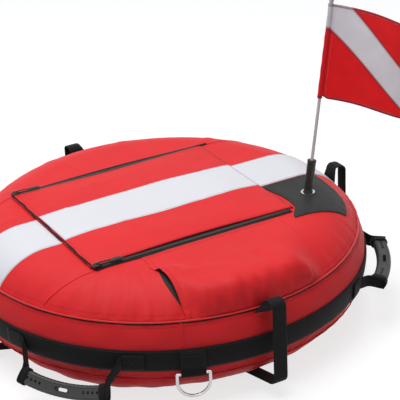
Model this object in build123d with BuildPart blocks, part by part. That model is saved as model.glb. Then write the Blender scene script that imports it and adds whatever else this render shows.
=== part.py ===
from build123d import *
import os
from math import acos, asin, atan2, cos, degrees, hypot, radians, sin, sqrt

os.makedirs("parts", exist_ok=True)

# Freediving training buoy, in millimetres. The origin is on the floor under the centre of the ring, +Z is up
# and +X runs along the white stripe towards the end that carries the flag.

# Shared clearances
SOFT_GAP = 0.3

# Inflated ring
RING_R = 286.0
SECTION_R = 114.0
BELLY_STRAP_T = 2.5
SECTION_Z = BELLY_STRAP_T + SOFT_GAP + SECTION_R
CREST_Z = SECTION_Z + SECTION_R

# Flat deck over the middle and its opening
DECK_T = 2.5
DECK_INNER_R = 165.0
LID_LEFT_X = -245.0
LID_RIGHT_X = 187.0
LID_FRONT_Y = -181.0
LID_REAR_Y = 176.0
DECK_LAP = 9.0
OPENING_EXTRA_DEPTH = 1.0

# Lid
LID_T = 3.0
ZIP_TAPE_T = 1.4
ZIP_OVERHANG = 5.0
ZIP_TUCK = 9.0
ZIP_DECK_W = 8.6
ZIP_SLIT = 0.4
ZIP_END_INSET = 6.0
SLIDER_INSET = 10.0
SLIDER_L = 14.0
SLIDER_W = 8.0
SLIDER_H = 6.5
PULL_L = 48.0
PULL_W = 7.0
PULL_T = 2.2
BINDING_W = 6.0
BINDING_T = 1.0

# White stripe
STRIPE_FRONT_Y = -62.0
STRIPE_REAR_Y = 57.0
STRIPE_T = 1.0
STRIPE_LID_GAP = 4.0

# Seams
SEAM_DEG = 30.2
PIPING_R = 3.0
SEAM_LAP_DEG = 2.0

# Belt webbing round the ring
BELT_LOW = -35.2
BELT_HIGH = 9.6
BELT_T = 2.5

# Webbing loops and belly straps
STRAP_W = 29.0
LOOP_START_DEG = 25.0
LOOP_STAND_OFF = 30.0
LOOP_SHOULDER_BACK = 25.0
LOOP_SHOULDER_RISE = 2.0
LOOP_TOP_DROP = 33.8
LOOP_LOW_Z = 32.0
LOOP_TOP_BEND = 12.0
LOOP_LOW_BEND = 20.0

# Steel ring under the middle
LINE_RING_R = 33.0
LINE_RING_WIRE_R = 3.0
EYE_GAP = 0.6
EYE_LAP = 45.0
EYE_INBOARD = 4.6

# Floor of the compartment
FLOOR_PANEL_T = 1.5

# Side D-rings
D_RING_DEGS = [-111.5, 68.5]
D_BAR_INNER = 54.0
D_WIRE_R = 3.0
D_DEPTH = 47.0
KEEPER_DEG = -20.6
KEEPER_T = 2.5
KEEPER_W = 46.0
KEEPER_HIGH = 7.0
KEEPER_LOW_LAP_DEG = 2.0
KEEPER_HOLE_EXTRA = 1.3

# Grip handles: azimuth, droop below level, reach out from the belt
HANDLES = [
    (-144.0, 53.0, 62.0),
    (-36.0, 8.0, 38.0),
    (36.0, 30.0, 46.0),
    (144.0, 45.0, 54.0),
]
HANDLE_HALF_DEG = 13.65
HANDLE_PATCH_DEG = 6.5
HANDLE_WEB_W = 30.0
HANDLE_WEB_T = 2.5
WEB_END_W = 24.0
GRIP_L = 166.0
GRIP_W = 28.0
GRIP_T = 17.0
GRIP_BOW = 11.0
GRIP_CORNER_R = 7.0
GRIP_SLOT_L = 26.0
GRIP_SLOT_W = 6.0
GRIP_HOLE_R = 2.7
GRIP_HOLE_PITCH = 9.0
GRIP_HOLE_COUNT = 4
GRIP_HOLE_INSET = 12.0
GRIP_RIB_PITCH = 8.5
GRIP_RIB_COUNT = 15
GRIP_RIB_R = 2.4
GRIP_RIB_BITE = 1.5

# Mast foot, pole and flag
MAST_DEG = -29.23
MAST_OUT = 2.77
MAST_LEAN_X = 0.107
MAST_LEAN_Y = -0.061
PATCH_INWARD = 62.0
PATCH_OUTWARD = 48.0
PATCH_FRONT = 81.0
PATCH_REAR = 75.0
PATCH_T = 1.6
GROMMET_R = 14.0
GROMMET_HOLE_R = 10.0
GROMMET_T = 1.6
SOCKET_R = 7.5
SOCKET_BORE_R = 3.6
SOCKET_UP = 72.0
SOCKET_DOWN = 38.0
SOCKET_FLOOR = 6.0
POLE_R = 3.25
FLAG_LOW = 203.0
FLAG_HIGH = 392.0
FLAG_W = 228.0
FLAG_T = 1.6
FLAG_YAW = -62.0
FLAG_WAVE = [(0.33, 12.0), (0.7, -7.2), (1.0, 3.6)]
SLEEVE_R = 5.2
POLE_TIP = 4.0
CAP_R = 4.6
CAP_L = 8.0

# Pocket on the front of the ring
POCKET_LEFT_X = -150.0
POCKET_RIGHT_X = 142.0
POCKET_SEAM_GAP = 1.0
POCKET_T = 2.0
POCKET_OUT = 95.0
POCKET_TOP_DROP = 3.8
POCKET_FOLD_R = 8.0
POCKET_REST_OUT = 14.0
POCKET_SKEW = 26.0
POCKET_ROOM_DEG = 80.0

RADIAL = Plane.XZ


def on_section(angle_deg, offset):
    """Point (r, z) in the radial plane, at an angle round the ring's section and an offset off its skin."""
    radius = SECTION_R + offset
    return (RING_R + radius * cos(radians(angle_deg)), SECTION_Z + radius * sin(radians(angle_deg)))


def section_angle(height):
    """Angle round the section of a point of the skin at a height above the section's centre."""
    return degrees(asin(height / SECTION_R))


def radial_plane(azimuth):
    """Plane whose x runs outward at an azimuth, whose y is up and whose normal is tangential."""
    return Plane(
        origin=(0, 0, 0),
        x_dir=(cos(radians(azimuth)), sin(radians(azimuth)), 0),
        z_dir=(sin(radians(azimuth)), -cos(radians(azimuth)), 0),
    )


def bow_point(centre, angle_deg, radius, outward):
    """Point of a grip's plane on an arc about a centre, at an angle from the outward direction."""
    return (
        centre.X + radius * sin(radians(angle_deg)),
        centre.Y + outward * radius * cos(radians(angle_deg)),
        0,
    )


def section_band(start_deg, end_deg, inner, outer):
    """Sketch of a band that follows the ring's section between two offsets off its skin."""
    mid = (start_deg + end_deg) / 2
    with BuildSketch() as band:
        with BuildLine():
            ThreePointArc(on_section(start_deg, inner), on_section(mid, inner), on_section(end_deg, inner))
            Line(on_section(end_deg, inner), on_section(end_deg, outer))
            ThreePointArc(on_section(end_deg, outer), on_section(mid, outer), on_section(start_deg, outer))
            Line(on_section(start_deg, outer), on_section(start_deg, inner))
        make_face()
    return band.sketch_local


def save(part, label):
    """Label a finished piece and write it."""
    part.label = label
    export_step(part, f"parts/{label}.step")


# Mast axis: a leaning plane on the crest
mast_x = (RING_R + MAST_OUT) * cos(radians(MAST_DEG))
mast_y = (RING_R + MAST_OUT) * sin(radians(MAST_DEG))
mast_dir = Vector(MAST_LEAN_X, MAST_LEAN_Y, 1).normalized()
mast_plane = Plane(origin=(mast_x, mast_y, CREST_Z), x_dir=(1, 0, -MAST_LEAN_X), z_dir=mast_dir)

# Clearance body of the ring, for trimming what lies on it
with BuildPart() as ring_clear:
    with BuildSketch(RADIAL):
        with Locations((RING_R, SECTION_Z)):
            Circle(SECTION_R + SOFT_GAP)
    revolve(axis=Axis.Z)

# Ring cover: inflated ring with the flat deck that spans its middle, open under the lid
deck_under_z = CREST_Z - DECK_T
deck_join_r = RING_R - sqrt(SECTION_R**2 - (SECTION_R - DECK_T) ** 2)
with BuildPart() as ring_cover:
    with BuildSketch(RADIAL):
        with BuildLine():
            Line((RING_R, CREST_Z), (DECK_INNER_R, CREST_Z))
            Line((DECK_INNER_R, CREST_Z), (DECK_INNER_R, deck_under_z))
            Line((DECK_INNER_R, deck_under_z), (deck_join_r, deck_under_z))
            ThreePointArc(
                (deck_join_r, deck_under_z), (RING_R - SECTION_R, SECTION_Z), (RING_R, SECTION_Z - SECTION_R)
            )
            ThreePointArc(
                (RING_R, SECTION_Z - SECTION_R), (RING_R + SECTION_R, SECTION_Z), (RING_R, CREST_Z)
            )
        make_face()
    revolve(axis=Axis.Z)
    opening_l = LID_RIGHT_X - LID_LEFT_X - 2 * DECK_LAP
    opening_w = LID_REAR_Y - LID_FRONT_Y - 2 * DECK_LAP
    opening_x = (LID_RIGHT_X + LID_LEFT_X) / 2
    opening_y = (LID_REAR_Y + LID_FRONT_Y) / 2
    with BuildSketch(Plane.XY.offset(deck_under_z - OPENING_EXTRA_DEPTH)):
        with Locations((opening_x, opening_y)):
            Rectangle(opening_l, opening_w)
    extrude(amount=DECK_T + 2 * OPENING_EXTRA_DEPTH, mode=Mode.SUBTRACT)
    with BuildSketch(mast_plane.offset(-SOCKET_DOWN - SOFT_GAP)):
        Circle(SOCKET_R + SOFT_GAP)
    extrude(amount=SOCKET_DOWN + SOCKET_R, mode=Mode.SUBTRACT)
save(ring_cover.part, "ring_cover")

# Seam piping above and below the side band
for label, side in [("rim_piping", 1), ("lower_piping", -1)]:
    with BuildPart() as piping:
        with BuildSketch(RADIAL):
            with Locations(on_section(side * SEAM_DEG, SOFT_GAP + PIPING_R)):
                Circle(PIPING_R)
        revolve(axis=Axis.Z)
    save(piping.part, label)

# Belt
belt_low_deg = section_angle(BELT_LOW)
belt_high_deg = section_angle(BELT_HIGH)
with BuildPart() as belt:
    with BuildSketch(RADIAL):
        add(section_band(belt_low_deg, belt_high_deg, SOFT_GAP, SOFT_GAP + BELT_T))
    revolve(axis=Axis.Z)
save(belt.part, "belt")

# Webbing loops, each one strap from the rim seam round the outside and under the ring to the line ring
strap_mid = SOFT_GAP + BELLY_STRAP_T / 2
eye_r = LINE_RING_WIRE_R + EYE_GAP
eye_z = eye_r + BELLY_STRAP_T
loop_out_r = RING_R + SECTION_R + LOOP_STAND_OFF
loop_top_z = CREST_Z - LOOP_TOP_DROP
reach = hypot(loop_out_r - RING_R, LOOP_LOW_Z - SECTION_Z)
tangent_deg = degrees(
    atan2(LOOP_LOW_Z - SECTION_Z, loop_out_r - RING_R) - acos((SECTION_R + strap_mid) / reach)
)
eye_in_x = LINE_RING_R - EYE_INBOARD
for label, azimuth in [("loop_right", 0), ("loop_rear", 90), ("loop_left", 180), ("loop_front", -90)]:
    plane = radial_plane(azimuth)
    with BuildPart() as loop:
        with BuildSketch(plane):
            with BuildLine() as run:
                FilletPolyline(
                    on_section(LOOP_START_DEG, strap_mid),
                    (loop_out_r - LOOP_SHOULDER_BACK, loop_top_z + LOOP_SHOULDER_RISE),
                    (loop_out_r, loop_top_z),
                    (loop_out_r, LOOP_LOW_Z),
                    on_section(tangent_deg, strap_mid),
                    radius=[LOOP_TOP_BEND, LOOP_TOP_BEND, LOOP_LOW_BEND],
                )
                ThreePointArc(
                    on_section(tangent_deg, strap_mid),
                    on_section((tangent_deg - 90) / 2, strap_mid),
                    on_section(-90, strap_mid),
                )
                Line(on_section(-90, strap_mid), (LINE_RING_R, BELLY_STRAP_T / 2))
            trace(run.line, BELLY_STRAP_T)
        extrude(amount=STRAP_W / 2, both=True)
        with BuildSketch(plane):
            with Locations(((eye_in_x + LINE_RING_R) / 2 + EYE_GAP, eye_z)):
                SlotCenterToCenter(LINE_RING_R - eye_in_x, 2 * eye_z)
                SlotCenterToCenter(LINE_RING_R - eye_in_x, 2 * eye_r, mode=Mode.SUBTRACT)
            with Locations((LINE_RING_R, 2 * eye_z - BELLY_STRAP_T / 2)):
                Rectangle(EYE_LAP, BELLY_STRAP_T, align=(Align.MIN, Align.CENTER))
            with Locations((LINE_RING_R + EYE_LAP, 0)):
                Rectangle(BELLY_STRAP_T, 2 * eye_z, align=(Align.MIN, Align.MIN))
        extrude(amount=STRAP_W / 2, both=True)
    save(loop.part, label)

# Steel ring under the middle
with BuildPart() as line_ring:
    with BuildSketch(RADIAL):
        with Locations((LINE_RING_R, eye_z)):
            Circle(LINE_RING_WIRE_R)
    revolve(axis=Axis.Z)
save(line_ring.part, "line_ring")

# Floor panel of the compartment
floor_z = 2 * eye_z + SOFT_GAP
with BuildPart() as floor_panel:
    with BuildSketch(Plane.XY.offset(floor_z)):
        Circle(RING_R)
    extrude(amount=FLOOR_PANEL_T)
    add(ring_clear.part, mode=Mode.SUBTRACT)
save(floor_panel.part, "floor_panel")

# Lid and what is sewn on it
lid_low_z = CREST_Z + SOFT_GAP + ZIP_TAPE_T
lid_high_z = lid_low_z + LID_T
lid_l = LID_RIGHT_X - LID_LEFT_X
lid_mid_x = (LID_RIGHT_X + LID_LEFT_X) / 2
with BuildPart() as lid:
    with BuildSketch(Plane.XY.offset(lid_low_z)):
        with Locations((lid_mid_x, (LID_REAR_Y + LID_FRONT_Y) / 2)):
            Rectangle(lid_l, LID_REAR_Y - LID_FRONT_Y)
    extrude(amount=LID_T)
save(lid.part, "lid")

with BuildPart() as lid_stripe:
    with BuildSketch(Plane.XY.offset(lid_high_z)):
        with Locations((LID_LEFT_X + BINDING_W, STRIPE_FRONT_Y)):
            Rectangle(lid_l - BINDING_W, STRIPE_REAR_Y - STRIPE_FRONT_Y, align=(Align.MIN, Align.MIN))
    extrude(amount=STRIPE_T)
save(lid_stripe.part, "lid_stripe")

with BuildPart() as lid_binding:
    with BuildSketch(Plane.XY.offset(lid_high_z)):
        with Locations((LID_LEFT_X, LID_FRONT_Y)):
            Rectangle(BINDING_W, LID_REAR_Y - LID_FRONT_Y, align=(Align.MIN, Align.MIN))
    extrude(amount=BINDING_T)
save(lid_binding.part, "lid_binding")

# Zips: each has a tape on the lid and a tape on the deck, and a slider parked past the lid's left edge
zip_x = LID_LEFT_X + ZIP_END_INSET
zip_l = lid_l - 2 * ZIP_END_INSET
for name, edge_y, out in [("front", LID_FRONT_Y, -1), ("rear", LID_REAR_Y, 1)]:
    tape_plane = Plane.XY.offset(CREST_Z + SOFT_GAP)
    slit_y = edge_y + out * ZIP_OVERHANG
    with BuildPart() as zip_lid:
        with BuildSketch(tape_plane):
            with Locations((zip_x + zip_l / 2, slit_y - out * (ZIP_OVERHANG + ZIP_TUCK) / 2)):
                Rectangle(zip_l, ZIP_OVERHANG + ZIP_TUCK)
        extrude(amount=ZIP_TAPE_T)
    save(zip_lid.part, f"zip_lid_{name}")
    with BuildPart() as zip_deck:
        with BuildSketch(tape_plane):
            with Locations((zip_x + zip_l / 2, slit_y + out * (ZIP_SLIT + ZIP_DECK_W / 2))):
                Rectangle(zip_l, ZIP_DECK_W)
        extrude(amount=ZIP_TAPE_T)
    save(zip_deck.part, f"zip_deck_{name}")
    slider_plane = Plane(origin=(LID_LEFT_X + SLIDER_INSET, slit_y, lid_low_z + SOFT_GAP))
    with BuildPart() as slider:
        with BuildSketch(slider_plane):
            RectangleRounded(SLIDER_L, SLIDER_W, SLIDER_W / 4)
        extrude(amount=SLIDER_H)
        with BuildSketch(slider_plane.offset(SLIDER_H - PULL_T)):
            with Locations((SLIDER_L / 4, 0)):
                Rectangle(PULL_L, PULL_W, align=(Align.MIN, Align.CENTER))
        extrude(amount=PULL_T)
    save(slider.part, f"zip_slider_{name}")

# Stripe panels on the deck and ring, from the lid's ends to the rim seam
stripe_end_deg = SEAM_DEG + SEAM_LAP_DEG
for label, start_x, side in [
    ("stripe_left", LID_LEFT_X, -1),
    ("stripe_right", LID_RIGHT_X, 1),
]:
    first_x = abs(start_x) + STRIPE_LID_GAP
    with BuildPart() as stripe:
        with BuildSketch(RADIAL):
            add(section_band(90, stripe_end_deg, SOFT_GAP, SOFT_GAP + STRIPE_T))
            with Locations((DECK_INNER_R, CREST_Z + SOFT_GAP)):
                Rectangle(RING_R - DECK_INNER_R, STRIPE_T, align=(Align.MIN, Align.MIN))
        revolve(axis=Axis.Z)
        with BuildSketch(Plane.XY, mode=Mode.PRIVATE) as strip:
            with Locations((side * first_x, STRIPE_FRONT_Y)):
                Rectangle(
                    RING_R + SECTION_R,
                    STRIPE_REAR_Y - STRIPE_FRONT_Y,
                    align=(Align.MIN if side > 0 else Align.MAX, Align.MIN),
                )
        extrude(strip.sketch, amount=2 * CREST_Z, mode=Mode.INTERSECT)
    save(stripe.part, label)

# D-rings, each in a webbing keeper sewn on the belt
keeper_eye_r = D_WIRE_R + KEEPER_HOLE_EXTRA
keeper_out_r = keeper_eye_r + KEEPER_T
bar_r, bar_z = on_section(KEEPER_DEG, SOFT_GAP + keeper_out_r)
keeper_half_deg = degrees(KEEPER_W / 2 / bar_r)
keeper_high_deg = section_angle(KEEPER_HIGH)
for number, azimuth in enumerate(D_RING_DEGS, start=1):
    plane = radial_plane(azimuth)
    start_plane = radial_plane(azimuth - keeper_half_deg)
    with BuildPart() as keeper:
        with BuildSketch(start_plane):
            band_in = 2 * SOFT_GAP + BELT_T
            add(section_band(belt_low_deg - KEEPER_LOW_LAP_DEG, keeper_high_deg, band_in, band_in + KEEPER_T))
            with Locations((bar_r, bar_z)):
                Circle(keeper_out_r)
                Circle(keeper_eye_r, mode=Mode.SUBTRACT)
        revolve(axis=Axis.Z, revolution_arc=2 * keeper_half_deg)
    save(keeper.part, f"ring_keeper_{number}")
    bar_plane = Plane(
        origin=plane.from_local_coords((bar_r, bar_z, 0)),
        x_dir=-plane.z_dir,
        z_dir=plane.x_dir,
    )
    bow_r = D_BAR_INNER / 2 + D_WIRE_R
    with BuildPart() as d_ring:
        with BuildLine(bar_plane) as bow:
            Line((0, 0), (-bow_r, 0))
            Line((-bow_r, 0), (-bow_r, -(D_DEPTH - bow_r)))
            ThreePointArc((-bow_r, -(D_DEPTH - bow_r)), (0, -D_DEPTH), (bow_r, -(D_DEPTH - bow_r)))
            Line((bow_r, -(D_DEPTH - bow_r)), (bow_r, 0))
            Line((bow_r, 0), (0, 0))
        with BuildSketch(Plane(origin=bow.line @ 0, z_dir=bow.line % 0)):
            Circle(D_WIRE_R)
        sweep(transition=Transition.ROUND)
    save(d_ring.part, f"d_ring_{number}")

# Grip handles
patch_in = 2 * SOFT_GAP + BELT_T
patch_low_deg = section_angle((BELT_LOW + BELT_HIGH - HANDLE_WEB_W) / 2)
patch_high_deg = section_angle((BELT_LOW + BELT_HIGH + HANDLE_WEB_W) / 2)
with BuildPart() as handle_patches:
    for azimuth, droop, reach_out in HANDLES:
        for side in (-1, 1):
            first = azimuth + side * HANDLE_HALF_DEG
            low = min(first, first + side * HANDLE_PATCH_DEG)
            with BuildSketch(radial_plane(low)):
                add(section_band(patch_low_deg, patch_high_deg, patch_in, patch_in + HANDLE_WEB_T))
            revolve(axis=Axis.Z, revolution_arc=HANDLE_PATCH_DEG)
save(handle_patches.part, "handle_patches")

belt_mid_deg = section_angle((BELT_LOW + BELT_HIGH) / 2)
root_r, root_z = on_section(belt_mid_deg, patch_in + HANDLE_WEB_T + SOFT_GAP)
chord_r = root_r * cos(radians(HANDLE_HALF_DEG))
bow_r = ((GRIP_L / 2) ** 2 + GRIP_BOW**2) / (2 * GRIP_BOW)
grip_half_deg = degrees(asin(GRIP_L / 2 / bow_r))
for number, (azimuth, droop, reach_out) in enumerate(HANDLES, start=1):
    out = Vector(cos(radians(azimuth)), sin(radians(azimuth)), 0)
    along = Vector(-sin(radians(azimuth)), cos(radians(azimuth)), 0)
    up = Vector(0, 0, 1)
    lean = out * cos(radians(droop)) - up * sin(radians(droop))
    face = out * sin(radians(droop)) + up * cos(radians(droop))
    centre = out * chord_r + up * root_z + lean * reach_out
    grip_plane = Plane(origin=centre, x_dir=along, z_dir=face)
    lean_sign = 1 if grip_plane.y_dir.dot(lean) > 0 else -1
    # The bow is an arc round a point on the belt's side, with angles taken from the outward direction
    bow_centre = Vector(0, -lean_sign * (bow_r - GRIP_BOW / 2), 0)
    with BuildPart() as grip:
        with BuildLine(grip_plane) as bow:
            ThreePointArc(
                bow_point(bow_centre, -grip_half_deg, bow_r, lean_sign),
                bow_point(bow_centre, 0, bow_r, lean_sign),
                bow_point(bow_centre, grip_half_deg, bow_r, lean_sign),
            )
        with BuildSketch(Plane(origin=bow.line @ 0, x_dir=face, z_dir=bow.line % 0)):
            RectangleRounded(GRIP_T, GRIP_W, GRIP_CORNER_R)
        sweep()
        with BuildSketch(grip_plane):
            for side in (-1, 1):
                for k in range(GRIP_HOLE_COUNT):
                    from_end = GRIP_HOLE_INSET + k * GRIP_HOLE_PITCH
                    hole_deg = side * (grip_half_deg - degrees(from_end / bow_r))
                    with Locations(bow_point(bow_centre, hole_deg, bow_r, lean_sign)):
                        Circle(GRIP_HOLE_R)
            with Locations(bow_point(bow_centre, 0, bow_r, lean_sign)):
                SlotOverall(GRIP_SLOT_L, GRIP_SLOT_W)
        extrude(amount=GRIP_T, both=True, mode=Mode.SUBTRACT)
        with BuildSketch(grip_plane):
            for side in (-1, 1):
                rib_r = bow_r + side * (GRIP_W / 2 + GRIP_RIB_R - GRIP_RIB_BITE)
                for k in range(GRIP_RIB_COUNT):
                    rib_deg = degrees((k - (GRIP_RIB_COUNT - 1) / 2) * GRIP_RIB_PITCH / bow_r)
                    with Locations(bow_point(bow_centre, rib_deg, rib_r, lean_sign)):
                        Circle(GRIP_RIB_R)
        extrude(amount=GRIP_T, both=True, mode=Mode.SUBTRACT)
    save(grip.part, f"handle_grip_{number}")
    with BuildPart() as webs:
        for side in (-1, 1):
            root_deg = radians(azimuth + side * (HANDLE_HALF_DEG + degrees(HANDLE_WEB_T / root_r)))
            root_out = Vector(cos(root_deg), sin(root_deg), 0)
            rise = up * cos(radians(belt_mid_deg)) - root_out * sin(radians(belt_mid_deg))
            away = root_out * cos(radians(belt_mid_deg)) + up * sin(radians(belt_mid_deg))
            with BuildSketch(Plane(origin=root_out * root_r + up * root_z, x_dir=rise, z_dir=away)):
                Rectangle(HANDLE_WEB_W, HANDLE_WEB_T)
            tip = bow_point(bow_centre, side * grip_half_deg, bow_r + GRIP_W / 2, lean_sign)
            along_end = lean * cos(radians(grip_half_deg)) + along * side * sin(radians(grip_half_deg))
            off_end = along * side * cos(radians(grip_half_deg)) - lean * sin(radians(grip_half_deg))
            end = grip_plane.from_local_coords(tip) + off_end * (SOFT_GAP + HANDLE_WEB_T / 2)
            with BuildSketch(Plane(origin=end, x_dir=face, z_dir=along_end)):
                Rectangle(WEB_END_W, HANDLE_WEB_T)
            loft()
    save(webs.part, f"handle_web_{number}")

# Mast foot
with BuildPart() as mast_patch:
    with BuildSketch(RADIAL):
        add(section_band(90, stripe_end_deg, SOFT_GAP, SOFT_GAP + PATCH_T))
        with Locations((DECK_INNER_R, CREST_Z + SOFT_GAP)):
            Rectangle(RING_R - DECK_INNER_R, PATCH_T, align=(Align.MIN, Align.MIN))
    revolve(axis=Axis.Z)
    with BuildSketch(Plane.XY, mode=Mode.PRIVATE) as patch_plan:
        with Locations((mast_x - PATCH_INWARD, mast_y - PATCH_FRONT)):
            Rectangle(PATCH_INWARD + PATCH_OUTWARD, PATCH_FRONT + PATCH_REAR, align=(Align.MIN, Align.MIN))
        with Locations((mast_x, mast_y)):
            Circle(GROMMET_HOLE_R, mode=Mode.SUBTRACT)
    extrude(patch_plan.sketch, amount=2 * CREST_Z, mode=Mode.INTERSECT)
save(mast_patch.part, "mast_patch")

with BuildPart() as grommet:
    with BuildSketch(Plane(origin=(mast_x, mast_y, CREST_Z + SOFT_GAP + PATCH_T))):
        Circle(GROMMET_R)
        Circle(GROMMET_HOLE_R, mode=Mode.SUBTRACT)
    extrude(amount=GROMMET_T)
save(grommet.part, "grommet")

with BuildPart() as mast_socket:
    with BuildSketch(mast_plane.offset(-SOCKET_DOWN)):
        Circle(SOCKET_R)
    extrude(amount=SOCKET_DOWN + SOCKET_UP)
    with BuildSketch(mast_plane.offset(-SOCKET_DOWN + SOCKET_FLOOR)):
        Circle(SOCKET_BORE_R)
    extrude(amount=SOCKET_DOWN + SOCKET_UP, mode=Mode.SUBTRACT)
save(mast_socket.part, "mast_socket")

pole_foot = -SOCKET_DOWN + SOCKET_FLOOR
with BuildPart() as pole:
    with BuildSketch(mast_plane.offset(pole_foot)):
        Circle(POLE_R)
    extrude(amount=FLAG_HIGH + POLE_TIP - pole_foot)
save(pole.part, "mast_pole")

with BuildPart() as cap:
    with BuildSketch(mast_plane.offset(FLAG_HIGH + POLE_TIP)):
        Circle(CAP_R)
    extrude(amount=CAP_L)
    fillet(cap.faces().sort_by(Axis.Z)[-1].edges(), radius=CAP_R / 2)
save(cap.part, "mast_cap")

# Flag: a sleeve round the pole and a sheet that waves once across its width
with BuildLine() as wave:
    Spline((SLEEVE_R - FLAG_T / 2, 0), *[(FLAG_W * share, sag) for share, sag in FLAG_WAVE])
with BuildPart() as flag:
    with BuildSketch(mast_plane.offset(FLAG_LOW)):
        Circle(SLEEVE_R)
        trace(Rot(Z=FLAG_YAW) * wave.line, FLAG_T)
        Circle(POLE_R + SOFT_GAP, mode=Mode.SUBTRACT)
    extrude(amount=FLAG_HIGH - FLAG_LOW)
save(flag.part, "flag")

# Pocket: a sheet from the front zip over the crest to a fold, then down to the rim seam, open at its left end
sheet_low_z = CREST_Z + SOFT_GAP + ZIP_TAPE_T
pocket_back_y = LID_FRONT_Y - ZIP_OVERHANG - ZIP_SLIT - ZIP_DECK_W - POCKET_SEAM_GAP
pocket_back_r = abs(pocket_back_y) - POCKET_T
pocket_r = RING_R + POCKET_OUT
pocket_rest_r = RING_R + POCKET_REST_OUT
foot_deg = degrees(acos(POCKET_OUT / (SECTION_R + SOFT_GAP)))
heel_deg = degrees(acos(POCKET_REST_OUT / (SECTION_R + SOFT_GAP)))
pocket_foot = on_section(foot_deg, SOFT_GAP)
pocket_heel = on_section(heel_deg, SOFT_GAP)
fold = (pocket_r, CREST_Z - POCKET_TOP_DROP)
inner_fold = (pocket_r - POCKET_T, CREST_Z - POCKET_TOP_DROP - POCKET_T)
with BuildPart() as pocket:
    with BuildSketch(RADIAL):
        with BuildLine():
            Polyline(
                pocket_heel,
                (pocket_rest_r, sheet_low_z),
                (pocket_back_r, sheet_low_z),
                (pocket_back_r, sheet_low_z + POCKET_T),
                (pocket_rest_r, sheet_low_z + POCKET_T),
                fold,
                pocket_foot,
            )
            ThreePointArc(pocket_foot, on_section((foot_deg + heel_deg) / 2, SOFT_GAP), pocket_heel)
        make_face()
        fillet(vertices().sort_by_distance(fold)[0], radius=POCKET_FOLD_R)
    revolve(axis=Axis.Z)
    with BuildSketch(Plane.XY, mode=Mode.PRIVATE) as pocket_plan:
        with BuildLine():
            Polyline(
                (POCKET_LEFT_X, pocket_back_y),
                (POCKET_RIGHT_X, pocket_back_y),
                (POCKET_RIGHT_X, -pocket_r - POCKET_T),
                (POCKET_LEFT_X + POCKET_SKEW, -pocket_r - POCKET_T),
                close=True,
            )
        make_face()
    extrude(pocket_plan.sketch, amount=2 * CREST_Z, mode=Mode.INTERSECT)

with BuildPart() as pocket_room:
    with BuildSketch(RADIAL):
        with BuildLine():
            Polyline(
                on_section(POCKET_ROOM_DEG, -POCKET_T),
                (pocket_rest_r + POCKET_T, sheet_low_z),
                inner_fold,
                (pocket_r - POCKET_T, SECTION_Z + SECTION_R / 2),
                close=True,
            )
        make_face()
        fillet(vertices().sort_by_distance(inner_fold)[0], radius=POCKET_FOLD_R - POCKET_T)
    revolve(axis=Axis.Z)
    with BuildSketch(Plane.XY, mode=Mode.PRIVATE) as room_plan:
        with Locations((POCKET_RIGHT_X - POCKET_T, -pocket_r)):
            Rectangle(2 * pocket_r, pocket_r, align=(Align.MAX, Align.CENTER))
    extrude(room_plan.sketch, amount=2 * CREST_Z, mode=Mode.INTERSECT)
with BuildPart() as pocket_cover:
    add(pocket.part)
    add(pocket_room.part, mode=Mode.SUBTRACT)
save(pocket_cover.part, "pocket")
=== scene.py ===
import logging
import math
from dataclasses import dataclass, field
from enum import Enum
from functools import partial
from itertools import pairwise
from typing import Callable, Iterator, Optional, Sequence, Union

import bpy
import numpy as np
from mathutils import Matrix, Vector


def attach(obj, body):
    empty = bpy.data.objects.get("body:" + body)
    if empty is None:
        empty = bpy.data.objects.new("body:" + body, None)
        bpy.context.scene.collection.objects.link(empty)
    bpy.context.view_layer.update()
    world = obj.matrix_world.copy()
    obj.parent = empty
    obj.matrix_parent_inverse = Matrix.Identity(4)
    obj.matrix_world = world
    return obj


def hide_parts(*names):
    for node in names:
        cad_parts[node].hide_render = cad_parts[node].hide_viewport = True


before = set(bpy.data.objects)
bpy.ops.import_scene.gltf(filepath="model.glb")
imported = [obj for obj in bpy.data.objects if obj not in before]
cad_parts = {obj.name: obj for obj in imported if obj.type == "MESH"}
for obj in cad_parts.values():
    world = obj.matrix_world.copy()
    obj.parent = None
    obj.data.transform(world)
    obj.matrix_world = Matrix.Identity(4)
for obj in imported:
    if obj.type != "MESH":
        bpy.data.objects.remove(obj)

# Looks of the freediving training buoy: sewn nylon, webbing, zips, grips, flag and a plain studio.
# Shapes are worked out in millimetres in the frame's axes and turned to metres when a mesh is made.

MM = 0.001
TURN = 2 * math.pi
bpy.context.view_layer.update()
Array = np.ndarray
Piece = bpy.types.Object
Material = bpy.types.Material
Socket = bpy.types.NodeSocket
Level = Union[float, Array]
ALONG_X, ALONG_Y, UP = np.eye(3)
log = logging.getLogger("buoy")


class Body(str, Enum):
    """Bodies of the frame that a piece can ride on."""

    BUOY = "buoy"
    LID = "lid"
    MAST = "mast"


class Slot(str, Enum):
    """Material slots of the record."""

    RED = "red_nylon"
    WHITE = "white_nylon"
    PIPING = "light_piping"
    WEBBING = "black_webbing"
    BLACK = "black_nylon"
    NET = "black_mesh"
    TAPE = "zip_tape"
    SLIDER = "zip_slider"
    RUBBER = "black_rubber"
    GRIP = "grip_rubber"
    FLAG = "flag_nylon"


# Shader helpers


def srgb(code: str) -> tuple:
    """Linear colour of an sRGB code.

    Args:
        code: Colour as RRGGBB in hexadecimal.
    Returns:
        Red, green, blue and alpha on a linear scale.
    """
    parts = [int(code[i : i + 2], 16) / 255.0 for i in (0, 2, 4)]
    return tuple(c / 12.92 if c <= 0.04045 else ((c + 0.055) / 1.055) ** 2.4 for c in parts) + (1.0,)


def shade(colour: tuple, factor: float) -> tuple:
    """A linear colour made lighter or darker."""
    return tuple(min(1.0, c * factor) for c in colour[:3]) + (1.0,)


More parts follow.
